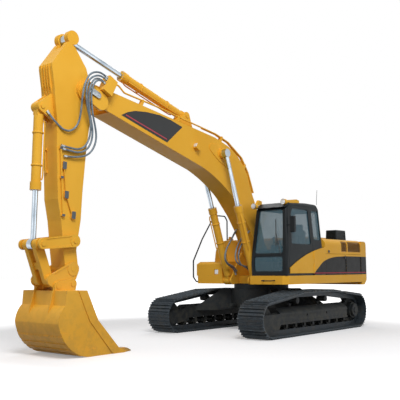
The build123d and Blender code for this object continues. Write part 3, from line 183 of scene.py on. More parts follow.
def curveThrough(tree, value, places):
    # smooth line through the places: value runs along their first number, and the result is the second
    xs, zs = [p[0] for p in places], [p[1] for p in places]
    share = spread(tree, value, min(xs), max(xs))
    node = addNode(tree, "ShaderNodeFloatCurve", links={"Value": share})
    line = node.mapping.curves[0]
    scaled = [((x - min(xs)) / (max(xs) - min(xs)), (z - min(zs)) / (max(zs) - min(zs))) for x, z in places]
    line.points[0].location, line.points[-1].location = scaled[0], scaled[-1]
    for place in scaled[1:-1]:
        line.points.new(*place)
    node.mapping.update()
    return spread(tree, node.outputs["Value"], 0.0, 1.0, min(zs), max(zs))


# the black field along the left side: its upper edge, its foot, and the stripe along its foot
sideField = {
    "upperEdge": ((-2.75 + swingX, 1.752), (-2.0 + swingX, 1.757), (-1.4 + swingX, 1.75),
                  (-1.0 + swingX, 1.73), (-0.6 + swingX, 1.66), (-0.27 + swingX, 1.50),
                  (0.0 + swingX, 1.305)),
    "foot": 1.305, "outside": 1.395, "rearEnd": -2.74 + swingX, "stripeMiddle": 1.352, "stripeHalf": 0.011,
}


def paintSideField(tree, paint, plate):
    # black field with its red stripe, on what lies outside the given distance from the middle
    ahead, across, height = placeOf(tree)
    edge = curveThrough(tree, ahead, sideField["upperEdge"])
    inside = combine(tree, "LESS_THAN", height, edge)
    inside = combine(tree, "MULTIPLY", inside, combine(tree, "GREATER_THAN", height, sideField["foot"]))
    inside = combine(tree, "MULTIPLY", inside, combine(tree, "GREATER_THAN", across, plate))
    inside = combine(tree, "MULTIPLY", inside, combine(tree, "GREATER_THAN", ahead, sideField["rearEnd"]))
    inside = combine(tree, "MULTIPLY", inside, combine(tree, "LESS_THAN", ahead, 0.0 + swingX))
    offset = combine(tree, "ABSOLUTE", combine(tree, "SUBTRACT", height, sideField["stripeMiddle"]), 0.0)
    stripe = combine(tree, "LESS_THAN", offset, sideField["stripeHalf"])
    field = blendColours(tree, stripe, linearColour("#040506"), linearColour("#9A1E34"))
    return blendColours(tree, inside, paint, field)


enamelKinds = {
    "machineEnamel": {"colours": ("#EBAE33", "#F0B63C"), "dust": "#B08A4C", "grime": 0.30, "dustTop": 1.1,
                      "roughness": 0.40, "worn": "#9A7636", "coat": 0.0, "specular": 0.16},
    "bucketEnamel": {"colours": ("#E6A92F", "#ECB138"), "dust": "#8F7446", "grime": 0.30, "dustTop": 1.3,
                     "roughness": 0.46, "worn": "#7D6C50", "coat": 0.0, "specular": 0.35},
    "chassisEnamel": {"colours": ("#1B1F21", "#23272A"), "dust": "#565349", "grime": 0.55, "dustTop": 1.1,
                      "roughness": 0.55, "worn": "#3A3F42", "coat": 0.0, "specular": 0.2},
    "cabEnamel": {"colours": ("#12171A", "#171D20"), "dust": "#2C3032", "grime": 0.12, "dustTop": 2.0,
                  "roughness": 0.40, "worn": "#2C3337", "coat": 0.0, "specular": 0.16},
}


def makeEnamel(name, kind, panel=None):
    # two-pack enamel sprayed on steel plate: even colour, faint orange peel, dust low down, rubbed edges
    material, tree, shader = newMaterial(name)
    broad = spread(tree, noiseAt(tree, 900.0, 2.0), 0.35, 0.65)
    paint = blendColours(tree, broad, linearColour(kind["colours"][0]), linearColour(kind["colours"][1]))
    if panel:
        paint = panel(tree, paint)
    fine = noiseAt(tree, 140.0, 5.0, 0.65)
    low = spread(tree, placeOf(tree)[2], 0.0, kind["dustTop"], kind["grime"], 0.0)
    patch = spread(tree, fine, 0.42, 0.62)
    paint = blendColours(tree, combine(tree, "MULTIPLY", low, patch), paint, linearColour(kind["dust"]))
    paint = blendColours(tree, wornEdges(tree, 9.0), paint, linearColour(kind["worn"]))
    tree.links.new(paint, shader.inputs["Base Color"])
    gloss = spread(tree, fine, 0.3, 0.7, kind["roughness"] - 0.05, kind["roughness"] + 0.08)
    tree.links.new(gloss, shader.inputs["Roughness"])
    shader.inputs["Specular IOR Level"].default_value = kind["specular"]
    shader.inputs["Coat Weight"].default_value = kind["coat"]
    shader.inputs["Coat Roughness"].default_value = 0.2
    addBump(tree, shader, noiseAt(tree, 9.0, 2.0), 0.05, 2.0)
    return material


def fieldOnDoors(tree, paint):
    return paintSideField(tree, paint, sideField["outside"])


def yellowOnCab(tree, paint):
    # the raised band on the cab's side is yellow, and turns black inside its lower curve
    across = placeOf(tree)[1]
    yellow = enamelKinds["machineEnamel"]["colours"]
    band = blendColours(tree, spread(tree, noiseAt(tree, 900.0, 2.0), 0.35, 0.65), linearColour(yellow[0]),
                        linearColour(yellow[1]))
    band = paintSideField(tree, band, cabBand["field"])
    low = combine(tree, "LESS_THAN", placeOf(tree)[2], cabBand["top"])
    raised = combine(tree, "GREATER_THAN", across, cabBand["outside"])
    return blendColours(tree, combine(tree, "MULTIPLY", low, raised), paint, band)


valveBlocks = {"outside": 0.2285, "foot": 2.1, "top": 3.6}     # faces on the stick's left, in metres
cabBand = {"outside": 1.4515, "top": 2.0, "field": 1.4}         # raised yellow band on the cab, in metres
louvreTop = 2.165                                               # upper edge of the slotted panels


def steelOnStick(tree, paint):
    # the valve blocks on the stick's left face are bare steel
    across, height = placeOf(tree)[1:]
    block = combine(tree, "GREATER_THAN", across, valveBlocks["outside"])
    block = combine(tree, "MULTIPLY", block, combine(tree, "LESS_THAN", height, valveBlocks["top"]))
    block = combine(tree, "MULTIPLY", block, combine(tree, "GREATER_THAN", height, valveBlocks["foot"]))
    return blendColours(tree, block, paint, linearColour("#5E6468"))


def paintedShadeOnPanels(tree, paint):
    # the slotted side panels are yellow as the housing is; below their upper edge they are painted brown,
    # their yellow darkened by painted shade that stands for the dark behind the slots
    height = placeOf(tree)[2]
    return blendColours(tree, combine(tree, "LESS_THAN", height, louvreTop), paint, linearColour("#9A6C28"))


machineEnamel = makeEnamel("machineEnamel", enamelKinds["machineEnamel"])
sideEnamel = makeEnamel("sidePanelEnamel", enamelKinds["machineEnamel"], fieldOnDoors)
stickEnamel = makeEnamel("stickEnamel", enamelKinds["machineEnamel"], steelOnStick)
bucketEnamel = makeEnamel("bucketEnamel", enamelKinds["bucketEnamel"])
chassisEnamel = makeEnamel("chassisEnamel", enamelKinds["chassisEnamel"])
cabEnamel = makeEnamel("cabEnamel", enamelKinds["cabEnamel"])
cabBandEnamel = makeEnamel("cabBandEnamel", enamelKinds["cabEnamel"], yellowOnCab)
# black intake box, with the painted shade in brown on its slotted panels
louvreEnamel = makeEnamel("louvreEnamel", enamelKinds["cabEnamel"], paintedShadeOnPanels)


def makeTrackSteel():
    # rolled manganese steel: blue-grey scale, rubbed bright on the lugs, dusty between them
    material, tree, shader = newMaterial("rolledTrackSteel")
    fine = noiseAt(tree, 60.0, 6.0, 0.7)
    scale = spread(tree, fine, 0.35, 0.65)
    steel = blendColours(tree, scale, linearColour("#262C31"), linearColour("#3E474E"))
    dirt = spread(tree, noiseAt(tree, 220.0, 5.0, 0.7), 0.50, 0.68, 0.0, 0.55)
    steel = blendColours(tree, dirt, steel, linearColour("#4E4A42"))
    rubbed = wornEdges(tree, 6.0, 0.40, 0.62)
    steel = blendColours(tree, rubbed, steel, linearColour("#76828A"))
    tree.links.new(steel, shader.inputs["Base Color"])
    tree.links.new(spread(tree, rubbed, 0.0, 1.0, 0.35, 0.9), shader.inputs["Metallic"])
    tree.links.new(spread(tree, fine, 0.3, 0.7, 0.42, 0.62), shader.inputs["Roughness"])
    addBump(tree, shader, noiseAt(tree, 12.0, 4.0), 0.25, 2.0)
    return material


def makeGlass():
    # tinted and tempered safety glass: blue-grey body, clean and polished
    material, tree, shader = newMaterial("temperedSafetyGlass")
    streak = spread(tree, noiseAt(tree, 260.0, 4.0, 0.6), 0.45, 0.75, 0.0, 0.25)
    tree.links.new(blendColours(tree, streak, linearColour("#4A7484"), linearColour("#7FA3B0")),
                   shader.inputs["Base Color"])
    shader.inputs["Roughness"].default_value = 0.04
    shader.inputs["IOR"].default_value = 1.52
    shader.inputs["Alpha"].default_value = 0.42
    return material


def makeChrome():
    # hard chrome plating, ground round: bright and blue-grey with a thin film of oil
    material, tree, shader = newMaterial("hardChrome")
    film = spread(tree, noiseAt(tree, 240.0, 3.0), 0.4, 0.7)
    tree.links.new(blendColours(tree, film, linearColour("#B9C3CC"), linearColour("#98A5B0")),
                   shader.inputs["Base Color"])
    shader.inputs["Metallic"].default_value = 1.0
    tree.links.new(spread(tree, film, 0.0, 1.0, 0.16, 0.28), shader.inputs["Roughness"])
    return material


def makeToothSteel():
    # cast and hardened steel, painted once and ground bare by digging
    material, tree, shader = newMaterial("castToothSteel")
    worn = spread(tree, noiseAt(tree, 45.0, 5.0, 0.6), 0.46, 0.6)
    tree.links.new(blendColours(tree, worn, linearColour("#C8922E"), linearColour("#86724A")),
                   shader.inputs["Base Color"])
    tree.links.new(spread(tree, worn, 0.0, 1.0, 0.45, 0.38), shader.inputs["Roughness"])
    tree.links.new(spread(tree, worn, 0.0, 1.0, 0.0, 0.5), shader.inputs["Metallic"])
    addBump(tree, shader, noiseAt(tree, 8.0, 4.0), 0.3, 1.5)
    return material


def waveScale(sizeMm):
    # wave texture scale whose ribs are that many millimetres wide, so about twice that from rib to rib
    return 1.0 / (sizeMm * millimetre) / 6.28


def makeCloth():
    # woven polyester seat cloth: charcoal, threads 2 mm apart drawn about 16 mm apart so that they show
    material, tree, shader = newMaterial("wovenSeatCloth")
    coords = addNode(tree, "ShaderNodeTexCoord")
    weave = None
    for way in ("X", "Z"):
        wave = addNode(tree, "ShaderNodeTexWave",
                       {"Scale": waveScale(8.0), "Distortion": 0.6, "bands_direction": way},
                       {"Vector": coords.outputs["Object"]})
        thread = wave.outputs["Fac"]
        weave = thread if weave is None else combine(tree, "MULTIPLY", weave, thread)
    tree.links.new(blendColours(tree, weave, linearColour("#1F2226"), linearColour("#3C4248")),
                   shader.inputs["Base Color"])
    shader.inputs["Roughness"].default_value = 0.9
    shader.inputs["Sheen Weight"].default_value = 0.3
    addBump(tree, shader, weave, 0.4, 1.0)
    return material


def makeTrim(name="grainedAbs", colours=("#2A2E31", "#363B3F"), roughness=0.6):
    # moulded ABS with a leather-like grain
    material, tree, shader = newMaterial(name)
    grain = noiseAt(tree, 4.0, 2.0)
    tree.links.new(blendColours(tree, grain, linearColour(colours[0]), linearColour(colours[1])),
                   shader.inputs["Base Color"])
    shader.inputs["Roughness"].default_value = roughness
    addBump(tree, shader, grain, 0.2, 1.0)
    return material


def makeHoseRubber():
    # oil hose of synthetic rubber with a cloth wrap: slate grey, soiled, uneven at about 12 mm
    material, tree, shader = newMaterial("wrappedHoseRubber")
    soil = spread(tree, noiseAt(tree, 90.0, 4.0), 0.4, 0.65)
    tree.links.new(blendColours(tree, soil, linearColour("#5A6873"), linearColour("#7C8B96")),
                   shader.inputs["Base Color"])
    shader.inputs["Roughness"].default_value = 0.42
    shader.inputs["Sheen Weight"].default_value = 0.15
    addBump(tree, shader, noiseAt(tree, 12.0, 2.0), 0.3, 1.5)
    return material


def makeRubber():
    # moulded EPDM window seal and hose cover: soft black
    material, tree, shader = newMaterial("mouldedRubber")
    cloud = spread(tree, noiseAt(tree, 60.0, 3.0), 0.35, 0.65)
    tree.links.new(blendColours(tree, cloud, linearColour("#15181A"), linearColour("#24282A")),
                   shader.inputs["Base Color"])
    shader.inputs["Roughness"].default_value = 0.55
    addBump(tree, shader, noiseAt(tree, 5.0, 2.0), 0.15, 0.6)
    return material


def makePlatedSteel():
    # zinc-plated and machined steel of fittings, bolts and retainer plates
    material, tree, shader = newMaterial("zincPlatedSteel")
    cloud = spread(tree, noiseAt(tree, 35.0, 4.0, 0.6), 0.35, 0.65)
    tree.links.new(blendColours(tree, cloud, linearColour("#8F979C"), linearColour("#B7BEC2")),
                   shader.inputs["Base Color"])
    shader.inputs["Metallic"].default_value = 0.85
    tree.links.new(spread(tree, cloud, 0.0, 1.0, 0.34, 0.48), shader.inputs["Roughness"])
    return material


def makeFilm():
    # cast vinyl film laid on the paint: near black, with a slight gloss
    material, tree, shader = newMaterial("castVinylFilm")
    cloud = spread(tree, noiseAt(tree, 400.0, 2.0), 0.3, 0.7)
    tree.links.new(blendColours(tree, cloud, linearColour("#07090B"), linearColour("#0C1013")),
                   shader.inputs["Base Color"])
    shader.inputs["Roughness"].default_value = 0.32
    return material


def makeStripeFilm():
    # the same film in red
    material, tree, shader = newMaterial("redVinylFilm")
    cloud = spread(tree, noiseAt(tree, 300.0, 2.0), 0.3, 0.7)
    tree.links.new(blendColours(tree, cloud, linearColour("#A82A3E"), linearColour("#B53145")),
                   shader.inputs["Base Color"])
    shader.inputs["Roughness"].default_value = 0.34
    return material


def makeLens():
    # pressed glass lens over a bright reflector
    material, tree, shader = newMaterial("pressedLampGlass")
    coords = addNode(tree, "ShaderNodeTexCoord")
    flute = addNode(tree, "ShaderNodeTexWave", {"Scale": waveScale(14.0), "bands_direction": "Y"},
                    {"Vector": coords.outputs["Object"]})
    tree.links.new(blendColours(tree, flute.outputs["Fac"], linearColour("#C9CDD0"), linearColour("#F1F3F4")),
                   shader.inputs["Base Color"])
    shader.inputs["Roughness"].default_value = 0.12
    shader.inputs["Metallic"].default_value = 0.25
    addBump(tree, shader, flute.outputs["Fac"], 0.4, 1.0)
    return material


hoseRubber = makeHoseRubber()
mouldedRubber = makeRubber()
platedSteel = makePlatedSteel()
vinylFilm = makeFilm()
stripeFilm = makeStripeFilm()
lampGlass = makeLens()
seatCloth = makeCloth()
grainedTrim = makeTrim()
hardChrome = makeChrome()
slotMaterials = {
    "body_yellow": machineEnamel, "dark_frame": chassisEnamel, "cab_black": cabEnamel,
    "track_steel": makeTrackSteel(), "cab_glazing": makeGlass(), "chrome_rod": hardChrome,
    "bucket_edge_steel": makeToothSteel(), "seat_cloth": seatCloth, "cab_trim": grainedTrim,
}
nodeMaterials = {
    "upper_frame": sideEnamel, "counterweight": sideEnamel, "top_cover": sideEnamel,
    "left_front_door": sideEnamel, "left_rear_door": sideEnamel, "cab_shell": cabBandEnamel,
    "cab_door": cabBandEnamel, "louvre_box": louvreEnamel, "stick": stickEnamel, "bucket": bucketEnamel,
    "coupler": bucketEnamel,
}


def paintNode(name, material):
    node = frame["nodes"][name]
    node.data.materials.clear()
    node.data.materials.append(material)


for subpart in frame["record"]["subparts"]:
    nodeName = subpart["node"]
    paintNode(nodeName, nodeMaterials.get(nodeName, slotMaterials[subpart["material_slot"]]))
print("frame nodes painted")


# floor and surroundings

floorSetup = {"size": 160.0, "shown": "#E9E9EB", "bounced": "#8E8E90", "glow": (0.27, 1.0),
              "reach": (5.2, 8.2)}
skySetup = {"light": 0.28, "seen": 1.0}


def seenDirectly(tree):
    # 1 for the rays that show the surroundings: straight, in gloss and through glass
    path = addNode(tree, "ShaderNodeLightPath")
    seen = combine(tree, "MAXIMUM", path.outputs["Is Camera Ray"], path.outputs["Is Glossy Ray"])
    return combine(tree, "MAXIMUM", seen, path.outputs["Is Transmission Ray"])


def makeFloor(setup):
    bpy.ops.mesh.primitive_plane_add(size=setup["size"], location=(0, 0, -0.0005))
    floor = bpy.context.object
    floor.name = "studioFloor"
    material = bpy.data.materials.new("paintedStudioFloor")
    material.use_nodes = True
    tree = material.node_tree
    tree.nodes.clear()
    paint = blendColours(tree, seenDirectly(tree), linearColour(setup["bounced"]),
                         linearColour(setup["shown"]))
    matte = addNode(tree, "ShaderNodeBsdfDiffuse", links={"Color": paint})
    coords = addNode(tree, "ShaderNodeTexCoord")
    away = addNode(tree, "ShaderNodeVectorMath", {"operation": "LENGTH"}, {0: coords.outputs["Object"]})
    paleness = spread(tree, away.outputs["Value"], *setup["reach"], *setup["glow"])
    strength = combine(tree, "MULTIPLY", seenDirectly(tree), paleness)
    glow = addNode(tree, "ShaderNodeEmission", {"Color": (1, 1, 1, 1)}, {"Strength": strength})
    both = addNode(tree, "ShaderNodeAddShader", links={0: matte.outputs["BSDF"], 1: glow.outputs["Emission"]})
    addNode(tree, "ShaderNodeOutputMaterial", links={"Surface": both.outputs["Shader"]})
    floor.data.materials.append(material)


def makeWorld(setup):
    world = bpy.data.worlds.new("softStudio")
    bpy.context.scene.world = world
    world.use_nodes = True
    tree = world.node_tree
    tree.nodes.clear()
    strength = spread(tree, seenDirectly(tree), 0.0, 1.0, setup["light"], setup["seen"])
    sky = addNode(tree, "ShaderNodeBackground", {"Color": (1, 1, 1, 1)}, {"Strength": strength})
    addNode(tree, "ShaderNodeOutputWorld", links={"Surface": sky.outputs["Background"]})


makeFloor(floorSetup)
makeWorld(skySetup)
bpy.context.scene.view_settings.view_transform = "Standard"
print("floor and surroundings made")


# ways of making pieces

def deselectAll():
    if bpy.context.object and bpy.context.object.mode != "OBJECT":
        bpy.ops.object.mode_set(mode="OBJECT")
    bpy.ops.object.select_all(action="DESELECT")


def activate(piece):
    deselectAll()
    piece.select_set(True)
    bpy.context.view_layer.objects.active = piece


def settle(piece, name, material, body=None, smooth=None):
    # the piece's place goes into its mesh, and it rides on its body
    activate(piece)
    bpy.ops.object.transform_apply(location=True, rotation=True, scale=True)
    if smooth is not None:
        bpy.ops.object.shade_smooth_by_angle(angle=math.radians(smooth))
    piece.name = name
    piece.data.name = name
    piece.data.materials.clear()
    piece.data.materials.append(material)
    if body:
        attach(piece, body)
    return piece


def applyModifier(piece, kind, **settings):
    activate(piece)
    modifier = piece.modifiers.new(kind.lower(), kind)
    for name, value in settings.items():
        setattr(modifier, name, value)
    bpy.ops.object.modifier_apply(modifier=modifier.name)


def outwardFaces(piece):
    activate(piece)
    bpy.ops.object.mode_set(mode="EDIT")
    bpy.ops.mesh.select_all(action="SELECT")
    bpy.ops.mesh.remove_doubles(threshold=0.00002)
    bpy.ops.mesh.normals_make_consistent(inside=False)
    bpy.ops.object.mode_set(mode="OBJECT")


def sheetPlate(outline, origin, along, up, thickness, bevel=0.0):
    # flat plate: a circle's corners are drawn to the outline, which is then extruded
    deselectAll()
    bpy.ops.mesh.primitive_circle_add(vertices=len(outline), fill_type="NGON")
    piece = bpy.context.object
    out = along.cross(up).normalized()
    for vertex, (a, b) in zip(piece.data.vertices, outline):
        vertex.co = origin + along * a + up * b
    bpy.ops.object.mode_set(mode="EDIT")
    bpy.ops.mesh.select_all(action="SELECT")
    bpy.ops.mesh.extrude_region_move(TRANSFORM_OT_translate={"value": out * thickness})
    bpy.ops.object.mode_set(mode="OBJECT")
    outwardFaces(piece)
    if bevel:
        applyModifier(piece, "BEVEL", width=bevel, segments=2, limit_method="ANGLE")
    return piece


def joinPieces(pieces):
    deselectAll()
    for piece in pieces:
        piece.select_set(True)
    bpy.context.view_layer.objects.active = pieces[0]
    bpy.ops.object.join()
    return bpy.context.object


def copyTo(master, places):
    # one joined piece of copies of the master: it points along Z, and each copy at its own direction
    copies = []
    for place, direction in places:
        copy = master.copy()
        copy.data = master.data.copy()
        bpy.context.collection.objects.link(copy)
        turn = Vector(direction).to_track_quat("Z", "Y").to_matrix().to_4x4()
        copy.matrix_world = Matrix.Translation(Vector(place)) @ turn
        activate(copy)
        bpy.ops.object.transform_apply(location=True, rotation=True, scale=True)
        copies.append(copy)
    return joinPieces(copies)


def makeBolt(radius, height):
    # hexagon head on its washer, standing on the origin
    deselectAll()
    bpy.ops.mesh.primitive_cylinder_add(vertices=6, radius=radius, depth=height,
                                        location=(0, 0, height / 2 + radius * 0.12))
    head = bpy.context.object
    applyModifier(head, "BEVEL", width=radius * 0.1, segments=1)
    bpy.ops.mesh.primitive_cylinder_add(vertices=16, radius=radius * 1.35, depth=radius * 0.24,
                                        location=(0, 0, radius * 0.12))
    bolt = joinPieces([head, bpy.context.object])
    bpy.ops.object.transform_apply(location=True, rotation=True, scale=True)
    return bolt


def discard(piece):
    bpy.data.objects.remove(piece, do_unlink=True)


def bolts(name, places, radius, body, material, height=None):
    master = makeBolt(radius, height or radius * 0.7)
    settle(copyTo(master, places), name, material, body, 30)
    discard(master)


def routeCurve(name, route, radius=0.0):
    # smooth line through open space, with the route's points as its control points
    curve = bpy.data.curves.new(name, "CURVE")
    curve.dimensions = "3D"
    curve.resolution_u = 8
    curve.bevel_depth = radius
    curve.bevel_resolution = 3
    curve.use_fill_caps = True
    line = curve.splines.new("NURBS")
    line.points.add(len(route) - 1)
    for point, place in zip(line.points, route):
        point.co = (*place, 1.0)
    line.order_u = 3
    line.use_endpoint_u = True
    piece = bpy.data.objects.new(name, curve)
    bpy.context.collection.objects.link(piece)
    return piece


def linePoints(route):
    # points along the route's smooth line
    bare = routeCurve("bareLine", route)
    mesh = bpy.data.meshes.new_from_object(bare)
    points = [vertex.co.copy() for vertex in mesh.vertices]
    discard(bare)
    return points


def tube(name, route, radius, material, body):
    # pipe or hose as a mesh
    piece = routeCurve(name, route, radius)
    activate(piece)
    bpy.ops.object.convert(target="MESH")
    piece = bpy.context.object
    outwardFaces(piece)
    return settle(piece, name, material, body, 40)


def localTo(origin, degrees):
    # turns (ahead, across, height) in millimetres along an arm into metres in the machine's space
    turn = Matrix.Rotation(-math.radians(degrees), 3, "Y")
    start = Vector((swingX + origin[0] * millimetre, 0.0, origin[1] * millimetre))
    return lambda ahead, across, height: start + turn @ (Vector((ahead, across, height)) * millimetre)


boomFoot, boomAngle = (270.0, 1880.0), 26.868      # millimetres ahead and up, degrees
onBoom = localTo(boomFoot, boomAngle)
onMachine = localTo((0.0, 0.0), 0.0)
boomAhead = onBoom(1000, 0, 0) - onBoom(0, 0, 0)
boomUp = onBoom(0, 0, 1000) - onBoom(0, 0, 0)
sideways = Vector((0, 1, 0))


# film along the boom: a dark field with a curved top, and the red stripe along its foot

boomFilm = {
    "field": ((5261, 135), (5152, 288), (4998, 436), (4731, 609), (4407, 780), (4080, 895), (3721, 977),
              (3824, 737), (3964, 409), (4379, 319), (4743, 243)),
    "stripe": ((5159, 202), (3994, 453), (3999, 477), (5164, 226)),
    "out": 235.4, "thick": 1.2,
}


def layFilm(name, outline, out, material):
    corners = [(a * millimetre, b * millimetre) for a, b in outline]
    # the plate grows along ahead x up, which points to the right, so on the left it grows backwards
    piece = sheetPlate(corners, onBoom(0, out, 0), boomAhead, boomUp, -boomFilm["thick"] * millimetre)
    settle(piece, f"{name}_left", material, "boom")


layFilm("boom_film", boomFilm["field"], boomFilm["out"], vinylFilm)
layFilm("boom_stripe", boomFilm["stripe"], boomFilm["out"] + 1.0, stripeFilm)
print("boom film laid")


# oil hoses round the boom's nose: rubber, crimped at both ends, running from the boom to the stick

noseHoses = {
    "radius": 0.018, "bendFrom": (3.92, 0.0, 4.86), "bendTo": (3.92, 0.0, 4.36),
    "routes": {
        "bucket_hose": ((3.513, .340, 4.979), (3.62, .345, 5.034), (3.79, .372, 5.03), (3.955, .378, 4.96),
                        (4.055, .378, 4.80), (4.105, .375, 4.63), (4.11, .345, 4.45), (4.088, .30, 4.29),
                        (4.088, .262, 4.10), (4.155, .242, 3.955), (4.275, .234, 3.87), (4.412, .228, 3.872),
                        (4.52, .20, 3.96), (4.61, .16, 4.06), (4.68, .128, 4.165)),
        "upper_hose": ((3.533, .345, 4.94), (3.66, .35, 4.985), (3.83, .372, 4.95), (3.975, .38, 4.85),
                       (4.04, .38, 4.68), (4.035, .372, 4.49), (3.975, .335, 4.32), (3.89, .30, 4.18),
                       (3.838, .272, 4.02), (3.84, .252, 3.83), (3.925, .244, 3.655), (4.082, .238, 3.567),
                       (4.269, .234, 3.575), (4.44, .23, 3.59)),
        "middle_hose": ((3.553, .30, 4.90), (3.66, .305, 4.94), (3.81, .345, 4.905), (3.92, .382, 4.80),
                        (3.985, .384, 4.65), (3.985, .374, 4.47), (3.93, .335, 4.28), (3.85, .295, 4.12),
                        (3.79, .27, 3.96), (3.79, .25, 3.77), (3.88, .24, 3.60), (4.05, .236, 3.515),
                        (4.24, .232, 3.52), (4.42, .23, 3.54)),
        "lower_hose": ((3.573, .345, 4.86), (3.67, .35, 4.90), (3.79, .368, 4.87), (3.885, .388, 4.77),
                       (3.935, .39, 4.61), (3.925, .38, 4.43), (3.845, .335, 4.20), (3.745, .295, 4.0),
                       (3.70, .27, 3.81), (3.76, .255, 3.618), (3.889, .246, 3.49), (4.08, .24, 3.434),
                       (4.25, .226, 3.42), (4.37, .215, 3.418)),
    },
}


def ferrule(name, place, direction, radius, body):
    # crimped sleeve and hexagon nut of a hose end
    deselectAll()
    bpy.ops.mesh.primitive_cylinder_add(vertices=20, radius=radius * 1.22, depth=radius * 3.2,
                                        location=(0, 0, radius * 1.2))
    sleeve = bpy.context.object
    bpy.ops.object.mode_set(mode="EDIT")
    bpy.ops.mesh.select_all(action="SELECT")
    bpy.ops.mesh.bevel(offset=radius * 0.12, segments=1)
    bpy.ops.object.mode_set(mode="OBJECT")
    bpy.ops.mesh.primitive_cylinder_add(vertices=6, radius=radius * 1.5, depth=radius * 1.1,
                                        location=(0, 0, -radius * 0.45))
    piece = joinPieces([sleeve, bpy.context.object])
    bpy.ops.object.transform_apply(location=True, rotation=True, scale=True)
    settle(copyTo(piece, [(place, direction)]), name, platedSteel, body, 30)
    discard(piece)


def hose(name, route, radius, bodies, bend=None):
    # hose on its first body, or left on no body when it runs between two, with a crimped end on each
    points = linePoints(route)
    piece = tube(name, route, radius, hoseRubber, None)
    if bend:
        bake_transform(piece)
    else:
        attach(piece, bodies[0])
    ferrule(f"{name}_start", points[0], points[1] - points[0], radius, bodies[0])
    ferrule(f"{name}_end", points[-1], points[-2] - points[-1], radius, bodies[-1])


for hoseName, hoseRoute in noseHoses["routes"].items():
    hose(hoseName, hoseRoute, noseHoses["radius"], ("boom", "stick"),
         (noseHoses["bendFrom"], noseHoses["bendTo"]))
print("nose hoses made")


# hoses from the upper frame to the boom's foot, in two bundles

footHoses = {
    "radius": 0.017, "bendFrom": (-1.0, 0.0, 1.50), "bendTo": (-1.0, 0.0, 2.38),
    "routes": {
        "foot_hose_1": ((-1.10, .218, 1.34), (-1.04, .215, 1.44), (-.90, .21, 1.50), (-.72, .205, 1.56),
                        (-.63, .205, 1.72), (-.70, .205, 1.94), (-.88, .20, 2.12), (-1.0, .20, 2.27),
                        (-1.08, .20, 2.335)),
        "foot_hose_2": ((-1.12, .218, 1.42), (-1.03, .205, 1.50), (-.86, .17, 1.53), (-.67, .155, 1.58),
                        (-.58, .155, 1.72), (-.65, .155, 1.95), (-.83, .15, 2.14), (-.95, .15, 2.31),
                        (-1.04, .15, 2.385)),
        "foot_hose_3": ((-1.12, -.218, 1.42), (-1.03, -.205, 1.50), (-.87, -.17, 1.54), (-.69, -.155, 1.59),
                        (-.60, -.155, 1.72), (-.67, -.155, 1.94), (-.84, -.15, 2.13), (-.96, -.15, 2.30),
                        (-1.045, -.15, 2.38)),
        "foot_hose_4": ((-1.10, -.218, 1.34), (-1.04, -.215, 1.44), (-.91, -.21, 1.51), (-.74, -.205, 1.58),
                        (-.65, -.205, 1.72), (-.72, -.205, 1.93), (-.89, -.20, 2.11), (-1.01, -.20, 2.26),
                        (-1.085, -.20, 2.33)),
    },
}
for hoseName, hoseRoute in footHoses["routes"].items():
    hose(hoseName, hoseRoute, footHoses["radius"], ("house", "boom"),
         (footHoses["bendFrom"], footHoses["bendTo"]))
print("foot hoses made")


# operator's seat: a bellows, a pan and a back shell, with three stuffed pads in woven cloth

seatSetup = {
    "middle": 965.0, "crown": 0.13, "channelDepth": 0.010,
    "bellows": ((60, 1348), (400, 1348), (380, 1390), (405, 1430), (380, 1470), (405, 1510), (380, 1550),
                (405, 1590), (380, 1630), (400, 1670), (70, 1670), (90, 1630), (65, 1590), (90, 1550),
                (65, 1510), (90, 1470), (65, 1430), (90, 1390)),
    "pan": ((-10, 1672), (420, 1680), (440, 1800), (425, 1805), (400, 1745), (0, 1735), (-20, 1775)),
    "shell": ((-30, 1700), (0, 1745), (-60, 1960), (-150, 2330), (-185, 2335), (-110, 1960), (-60, 1760)),
    "halfWidths": {"bellows": 170.0, "pan": 225.0, "shell": 205.0},
    # name: size along, across and through the pad; middle ahead and height; turn; where it is sewn
    "pads": {
        "seat_cushion": ((0.44, 0.47, 0.115), (215, 1822), -3.0, (-0.08, 0.08)),
        "seat_back_pad": ((0.50, 0.45, 0.105), (-68, 2110), 76.0, (-0.12, 0.0, 0.12)),
        "headrest_pad": ((0.16, 0.27, 0.085), (-146, 2412), 76.0, ()),
    },
    "stalks": ((-160, 2290), (-172, 2350), (-182, 2400)),
}


def profilePiece(name, outline, middle, half, material, body):
    # outline of machine millimetres, ahead and up, drawn across by the given half width
    corners = [(a * millimetre, b * millimetre) for a, b in outline]
    origin = Vector((swingX, (middle + half) * millimetre, 0))
    piece = sheetPlate(corners, origin, Vector((1, 0, 0)), Vector((0, 0, 1)), 2 * half * millimetre, 0.006)
    return settle(piece, name, material, body, 40)


def stuffedPad(name, size, place, turn, channels):
    # a box is divided and its faces drawn outward, then it is sewn down along the channels
    deselectAll()
    bpy.ops.mesh.primitive_cube_add(size=1.0, scale=size)
    piece = bpy.context.object
    bpy.ops.object.mode_set(mode="EDIT")
    bpy.ops.mesh.select_all(action="SELECT")
    bpy.ops.mesh.subdivide(number_cuts=11)
    bpy.ops.transform.tosphere(value=seatSetup["crown"])
    bpy.ops.object.mode_set(mode="OBJECT")
    step = size[0] / 12
    for vertex in piece.data.vertices:
        sewn = any(abs(vertex.co.x - channel) < step * 0.6 for channel in channels)
        if sewn and vertex.co.z > size[2] * 0.4:
            vertex.co.z -= seatSetup["channelDepth"]
    applyModifier(piece, "SUBSURF", levels=1)
    middle = onMachine(place[0], seatSetup["middle"], place[1])
    piece.matrix_world = Matrix.Translation(middle) @ Matrix.Rotation(math.radians(turn), 4, "Y")
    settle(piece, name, seatCloth, "house", 60)


